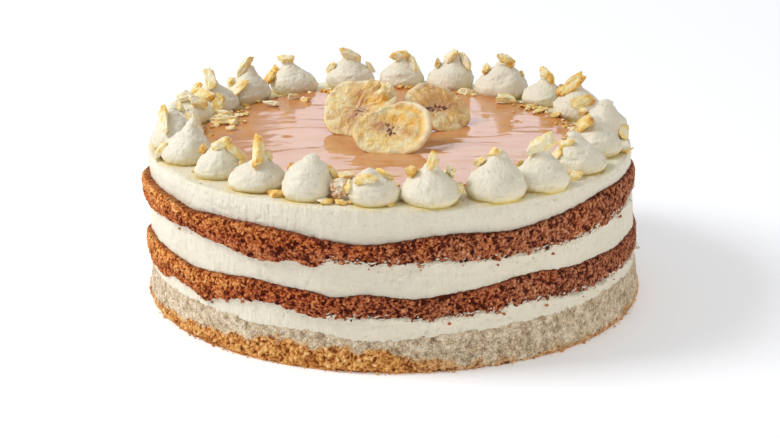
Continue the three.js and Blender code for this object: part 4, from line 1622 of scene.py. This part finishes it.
            # Each seed lies along its own ray from the middle of the core
            ray = math.atan2(y - self.core[1], x - self.core[0])
            off_x, off_y = flat[:, 0] - x, flat[:, 1] - y
            along = (off_x * math.cos(ray) + off_y * math.sin(ray)) / 1.7
            away = np.hypot(along, (off_y * math.cos(ray) - off_x * math.sin(ray)) / 0.75) / width
            seed = np.maximum(seed, smooth(-away - 0.25 * rough, -1.35, -0.6))
            halo = np.maximum(halo, smooth(-away, -3.2, -1.0))
        core_x = (flat[:, 0] - self.core[0]) / self.core[2]
        core_y = (flat[:, 1] - self.core[1]) / self.core[3]
        core = core_x**2 + core_y**2
        blush = top * self.blush * np.maximum(0.75 * halo, np.exp(-core * 0.32) * smooth(rough, -1.0, 0.5))
        tan = self.tanned * smooth(-rough, -0.2, 1.0) * top + 0.8 * (sign <= 0)
        gold = 0.8 * groove * smooth(rough, -1.2, 0.2)
        painted = ((self.bruises, tan, 0.9), (self.golds, gold, 1.0), (self.pinks, blush, 0.7))
        for spots, value, strength in painted:
            for x, y, size in spots:
                away = np.hypot(flat[:, 0] - x, flat[:, 1] - y) / size
                value[:] = np.maximum(value, strength * np.exp(-(away**2)) * smooth(rough, -1.6, 0.0) * top)
        rim, tan = np.clip(0.9 * rim, 0, 1), np.clip(tan, 0, 1)
        laid = {"rim": rim, "tan": tan, "gold": gold, "blush": blush, "seed": seed * top}
        return {key: np.concatenate([value, [0.0, 0.0]]) for key, value in laid.items()}

    def make(self, finish: Material, slot: str) -> Object:
        """Builds and dresses the slice."""
        return self.body().piece(self.name, finish, slot, (self.node,))


@dataclass
class Crumbs:
    """Loose crumbs of sponge stuck to the cream or lying at the foot."""

    name: str
    heights: tuple[Boundary, ...]
    drop: tuple[float, float]
    outset: tuple[float, float]
    count: int
    sizes: tuple[float, float]
    laid: dict[str, float]
    seed: int

    def make(self, finish: Material, slot: str) -> Object:
        """Builds and dresses the crumbs as one piece."""
        random = np.random.default_rng(self.seed)
        chopper = Chopper(1, 6, self.seed)
        bodies = []
        for number in range(self.count):
            bearing = random.uniform(-180, 180)
            size = self.sizes[0] + (self.sizes[1] - self.sizes[0]) * random.random() ** 2.4
            height = float(self.heights[number % len(self.heights)].height(np.array(bearing)))
            height -= self.drop[0] + (self.drop[1] - self.drop[0]) * random.random() ** 1.8
            out = random.uniform(*self.outset)
            place = FORM.point(np.array(bearing), np.array(max(height, size * 0.35)), np.array(out))
            shares = (size, size * random.uniform(0.7, 1), size * random.uniform(0.6, 0.9))
            points = place + chopper.chunk(shares, 0.12)
            points[:, 2] = np.maximum(points[:, 2], 0.05)
            values = {key: np.full(len(points), v) for key, v in self.laid.items()}
            values["relief"] = np.full(len(points), random.uniform(0.35, 0.85))
            bodies.append(Body(points, [chopper.triangles], values))
        return gathered(bodies).piece(self.name, finish, slot)


@dataclass
class CreamFlecks:
    """Flecks of cream that the knife dragged up over the lower edges of the brown sponge."""

    edges: tuple[tuple[Boundary, float, float], ...]
    bearings: tuple[float, float] = (-104.0, -6.0)
    count: int = 380
    climb: float = 3.0
    lengths: tuple[float, float] = (0.8, 3.6)
    seed: int = 95

    def make(self, finish: Material, slot: str) -> Object:
        """Builds and dresses the flecks as one piece."""
        random = np.random.default_rng(self.seed)
        chopper = Chopper(1, 4, self.seed)
        bodies = []
        for number in range(self.count):
            edge, outset, shift = self.edges[number % len(self.edges)]
            bearing = random.uniform(*self.bearings)
            height = float(edge.height(np.array(bearing))) - 0.6 + self.climb * random.random() ** 1.6
            out = np.array(outset + random.uniform(-0.2, 0.25))
            place = FORM.point(np.array(bearing), np.array(height), out, shift)
            length = self.lengths[0] + (self.lengths[1] - self.lengths[0]) * random.random() ** 2
            turn, tilt = math.radians(bearing), math.radians(random.normal(14, 16))
            outward, side = heading(turn), np.array([-math.sin(turn), math.cos(turn), 0.0])
            along = side * math.cos(tilt) + [0, 0, math.sin(tilt)]
            chunk = chopper.chunk((length, random.uniform(0.5, 1.0), 0.7), 0.12)
            points = place + chunk @ np.stack([along, np.cross(outward, along), outward])
            bodies.append(Body(points, [chopper.triangles], {"foot_shade": np.zeros(len(points))}))
        return gathered(bodies).piece("cream_flecks", finish, slot)


@dataclass
class NutCrumbs:
    """The smallest chips of nut, scattered between the dollops and at the caramel's edge."""

    count: int = 150
    sizes: tuple[float, float] = (1.2, 3.4)
    # Clusters as (x, y, spread, count) and heaped chips as (x, y, height, length, turn)
    clusters: tuple[tuple[float, float, float, int], ...] = (
        (-27.0, -98.0, 3.2, 9), (68.5, 44.0, 5.0, 9), (-82.0, 20.0, 6.0, 12), (-74.0, 34.0, 6.0, 8),
        (80.0, 18.0, 4.0, 7), (-25.0, 78.0, 6.0, 8), (-62.0, -60.0, 4.0, 5), (4.0, -97.0, 2.0, 3),
    )
    heap: tuple[tuple[float, float, float, float, float], ...] = (
        (-22.5, -97.0, 78.2, 5.5, 100.0), (-30.5, -102.5, 72.2, 5.5, 70.0), (-18.5, -103.5, 71.8, 4.0, 10.0),
        (-81.0, 24.0, 74.4, 8.5, 60.0), (-77.0, 15.0, 73.6, 6.0, 120.0), (70.0, 38.0, 73.4, 5.0, 20.0),
        (78.0, 30.0, 73.6, 6.5, 80.0), (-84.0, 32.0, 73.8, 7.0, 150.0),
    )
    seed: int = 77

    def make(self, finish: Material, slot: str) -> Object:
        """Builds and dresses the chips as one piece."""
        random = np.random.default_rng(self.seed)
        pieces = NutPieces(Chopper(2, 7, self.seed))
        spots = []
        for x, y, spread, number in self.clusters:
            spots += [(x + random.normal() * spread, y + random.normal() * spread) for _ in range(number)]
        for _ in range(self.count):
            bearing = random.uniform(-math.pi, math.pi)
            reach = random.choice([random.uniform(80, 88), random.uniform(84, 106)])
            spots.append((FORM.top_shift_x + reach * math.cos(bearing), reach * math.sin(bearing)))
        bodies = [pieces.lying(*heaped, random.uniform(0.05, 0.5)) for heaped in self.heap]
        for x, y in spots:
            away = min(math.hypot(x - d.foot()[0], y - d.foot()[1]) - d.girth for d in DOLLOPS)
            if away < -1.5 or math.hypot(x - FORM.top_shift_x, y) > 108:
                continue
            level = CARAMEL_LEVEL if math.hypot(x - FORM.top_shift_x, y) < 88 else FORM.height
            length, turn = random.uniform(*self.sizes), random.uniform(0, 180)
            bodies.append(pieces.lying(x, y, level, length, turn, random.uniform(0.1, 0.65)))
        return gathered(bodies).piece("nut_chips", finish, slot, soft=False)


@dataclass
class PralineLump:
    """A lump of ground, sugared nuts that stayed together, between two dollops."""

    centre: tuple[float, float, float] = (-23.2, -100.4, 76.4)
    spread: tuple[float, float, float] = (3.6, 2.4, 4.4)
    count: int = 130
    seed: int = 83

    def make(self, finish: Material, slot: str) -> Object:
        """Builds and dresses the lump as one piece."""
        random = np.random.default_rng(self.seed)
        pieces = NutPieces(Chopper(1, 7, self.seed), flatness=0.8)
        bodies = []
        for _ in range(self.count):
            way = random.normal(size=3)
            way *= random.uniform(0.3, 1.0) / np.linalg.norm(way)
            x, y, z = np.array(self.centre) + way * np.array(self.spread)
            size, turn = random.uniform(1.4, 3.2), random.uniform(0, 180)
            bodies.append(pieces.lying(x, y, z, size, turn, random.uniform(-0.2, 0.45)))
        return gathered(bodies).piece("praline_lump", finish, slot, soft=False)


@dataclass(frozen=True)
class SoftBox:
    """One soft box that faces the cake: where it hangs, its size, its power and its colour."""

    name: str
    at: tuple[float, float, float]
    size: tuple[float, float]
    watts: float
    tint: str
    aim: tuple[float, float, float] = (0, 0, 40)

    def hang(self) -> None:
        """Hangs the lamp."""
        data = bpy.data.lights.new(self.name, "AREA")
        data.shape = "RECTANGLE"
        data.size, data.size_y = self.size[0] * MM, self.size[1] * MM
        data.energy = self.watts
        data.color = srgb(self.tint)[:3]
        lamp = bpy.data.objects.new(self.name, data)
        lamp.location = Vector(self.at) * MM
        lamp.rotation_euler = (Vector(self.aim) - Vector(self.at)).to_track_quat("-Z", "Y").to_euler()
        bpy.context.scene.collection.objects.link(lamp)


@dataclass
class Studio:
    """The floor, the camera and the light."""

    lamps: tuple[SoftBox, ...] = (
        SoftBox("window_left", (-1130, -60, 1060), (600, 600), 15.8, "#FCFCFF"),
        SoftBox("fill_right", (900, -700, 300), (900, 500), 2.4, "#FFF6EA"),
        SoftBox("window_back", (350, 1350, 650), (1100, 560), 2.75, "#EAF1FF"),
        SoftBox("ceiling", (-250, 100, 1500), (1200, 1200), 2.0, "#FFFFFF"),
    )
    sky: str = "#F7F8FB"
    sky_strength: float = 0.395
    camera_at: tuple[float, float, float] = (-2.35, -855.5, 310.6)
    aim: tuple[float, float, float] = (-2.35, 0.0, 31.15)
    lens: float = 87.7
    sensor: float = 36.0
    floor_half: float = 1800.0

    def make_floor(self) -> None:
        """Lays the floor, a wide sheet of paper."""
        half = self.floor_half * MM
        mesh = bpy.data.meshes.new("paper_floor")
        corners = [(-half, -half, 0), (half, -half, 0), (half, half, 0), (-half, half, 0)]
        mesh.from_pydata(corners, [], [(0, 1, 2, 3)])
        mesh.materials.append(PaleFloor().build())
        floor = bpy.data.objects.new("paper_floor", mesh)
        bpy.context.scene.collection.objects.link(floor)

    def make_camera(self) -> None:
        """Sets the camera where the photograph was taken from."""
        data = bpy.data.cameras.new("camera")
        data.lens = self.lens
        data.sensor_width = self.sensor
        camera = bpy.data.objects.new("camera", data)
        at, aim = Vector(self.camera_at), Vector(self.aim)
        camera.location = at * MM
        camera.rotation_euler = (aim - at).to_track_quat("-Z", "Y").to_euler()
        bpy.context.scene.collection.objects.link(camera)
        bpy.context.scene.camera = camera

    def make(self) -> None:
        """Sets up the whole studio."""
        self.make_floor()
        self.make_camera()
        for lamp in self.lamps:
            lamp.hang()
        world = bpy.data.worlds.new("studio")
        world.use_nodes = True
        light = {"Color": srgb(self.sky), "Strength": self.sky_strength}
        feed(world.node_tree, world.node_tree.nodes["Background"], light)
        bpy.context.scene.world = world
        bpy.context.scene.view_settings.view_transform = "Standard"


def main() -> None:
    """Builds the cake from its foot up and sets the studio."""
    logging.basicConfig(level=logging.INFO, format="%(message)s")
    blond, brown = BlondSponge().build(), BrownSponge().build()
    cream, nut = WhippedCream().build(), ChoppedNut().build()
    piped = WhippedCream("piped_cream", drag=0.7, dimple=0.35).build()
    caramel, banana = PouredCaramel().build(), DriedBanana().build()

    foot_profile = ((0, -0.6), (0.14, 0.9), (0.42, 0.5), (1, -0.3))
    cake_profile = ((0, -0.5), (0.3, 0.1), (0.7, 0.2), (1, -0.3))
    SpongeFoot(
        "blond_sponge", "cake_base", FORM.underside, FORM.sponge_top, 0.2, foot_profile, rows=40,
        grain=1.8, grain_height=0.7, lumps=0.55, ragged=0.5, crisp=0.8, roll_low=0.0, roll_high=0.3, seed=3,
    ).make(blond, "blond_sponge")
    CreamBand(
        "cream_filling_lower", "cream_lower", FORM.sponge_top, FORM.lower_cake_underside, seed=12
    ).make(cream, "cream")
    SpongeBand(
        "brown_sponge_lower", "cake_lower", FORM.lower_cake_underside, FORM.lower_cake_top, 1.3,
        cake_profile, -0.6, ragged=0.95, seed=21,
    ).make(brown, "brown_sponge")
    CreamBand(
        "cream_filling_middle", "cream_middle", FORM.lower_cake_top, FORM.upper_cake_underside, -0.1, seed=33
    ).make(cream, "cream")
    SpongeBand(
        "brown_sponge_upper", "cake_upper", FORM.upper_cake_underside, FORM.upper_cake_top, 1.9,
        cake_profile, -1.0, lift=0.06, golden_spread=62.0, golden_low=0.5, seed=45,
    ).make(brown, "brown_sponge")
    top = CreamTop("cream_top_layer", "cream_top", FORM.upper_cake_top, FORM.rim, 0.0, 900, 30, seed=51)
    top.make(cream, "cream_and_nuts")
    CaramelPool().make(caramel, "caramel")

    nuts = NutPieces()
    DollopRing(nuts).make(piped, nut, "cream_and_nuts")
    random = np.random.default_rng(5)
    lying = []
    rows = ((NUTS_ON_CREAM, FORM.height, 0.15, 0.5), (NUTS_ON_CARAMEL, CARAMEL_LEVEL, 0, 0.35))
    for places, level, least, most in rows:
        for x, y, size, turn in places:
            lying.append(nuts.lying(x, y, level, size, turn, random.uniform(least, most)))
    gathered(lying).piece("nuts_on_top", nut, "cream_and_nuts", ("cream_top", "caramel"), soft=False)

    BananaSlice(
        "banana_slice_front", "banana_slice_1", (-1.9, -34.4), -91, 34, 16.7, 14.8, 1.4,
        ((1, 0.135, -38), (2, 0.125, 27), (3, 0.07, 73), (4, 0.02, 42)), core=(-0.6, -1.0, 2.4, 2.4),
        bruises=((-7.0, 0.0, 3.4), (7.0, -3.0, 4.0)), pinks=((-4.4, 1.2, 3.0),),
        golds=((1.0, 5.2, 3.0), (4.4, 5.6, 2.0), (9.5, 3.0, 2.6)),
        rim_at=25.0, rim_height=1.2, seed_count=15, seed=60,
    ).make(banana, "banana")
    BananaSlice(
        "banana_slice_left", "banana_slice_2", (-20.2, -4.8), -104, 36, 17.6, 16.2, 1.1,
        ((1, 0.05, 45), (2, 0.03, 50), (4, 0.04, 48), (7, 0.02, 20)), blush=0.7, core=(1.0, -1.5, 3.2, 2.6),
        bruises=((-1.0, 8.0, 5.0), (-2.0, -9.0, 4.5)), pinks=((-1.8, -4.6, 3.4), (0.5, 2.5, 2.2)),
        golds=((10.0, 3.4, 2.2), (6.0, 4.6, 2.0), (12.5, 5.0, 1.8), (3.0, 3.0, 1.8)),
        lumps=((10.0, 10.0, 5.6, 2.9), (4.5, 12.6, 4.2, 2.1)), folds=((8.0, 3.0, 12.0), (0.5, 4.0, 75.0)),
        rim_at=60.0, rim_height=0.7, groove=0.2, tanned=0.6, seed_count=10, seed=64,
    ).make(banana, "banana")
    BananaSlice(
        "banana_slice_right", "banana_slice_3", (24.6, 6.5), -62, 38, 15.4, 12.8, -1.0,
        ((2, 0.08, 155), (3, 0.02, 100), (6, 0.02, 40)), blush=0.8, core=(-1.0, -1.0, 4.8, 1.5),
        bruises=((0.0, 5.0, 9.0), (6.0, 2.0, 8.0), (-6.0, 3.0, 5.0)), folds=((-6.0, 6.0, 110.0),),
        rim_at=100.0, rim_height=0.5, groove=0.15, tanned=0.8, seed_count=18, seed=69,
    ).make(banana, "banana")

    undersides = (FORM.lower_cake_underside, FORM.upper_cake_underside)
    Crumbs(
        "brown_crumbs", undersides, (0.3, 3.4), (-0.2, 0.8), 240, (0.5, 1.8), {"golden": 0.3, "top_edge_dark": 0.0},
        seed=91,
    ).make(brown, "brown_sponge")
    Crumbs(
        "blond_crumbs", (FORM.underside,), (0.0, 0.1), (-1.5, 2.0), 330, (0.6, 2.2), {"crust": 0.8}, seed=92
    ).make(blond, "blond_sponge")
    edges = ((FORM.lower_cake_underside, 1.25, -0.6), (FORM.upper_cake_underside, 1.8, -1.0))
    CreamFlecks(edges).make(cream, "cream")
    NutCrumbs().make(nut, "cream_and_nuts")
    PralineLump().make(ChoppedNut("sugared_nut", toasting=SUGARED).build(), "cream_and_nuts")
    Studio().make()


if __name__ == "__main__":
    main()
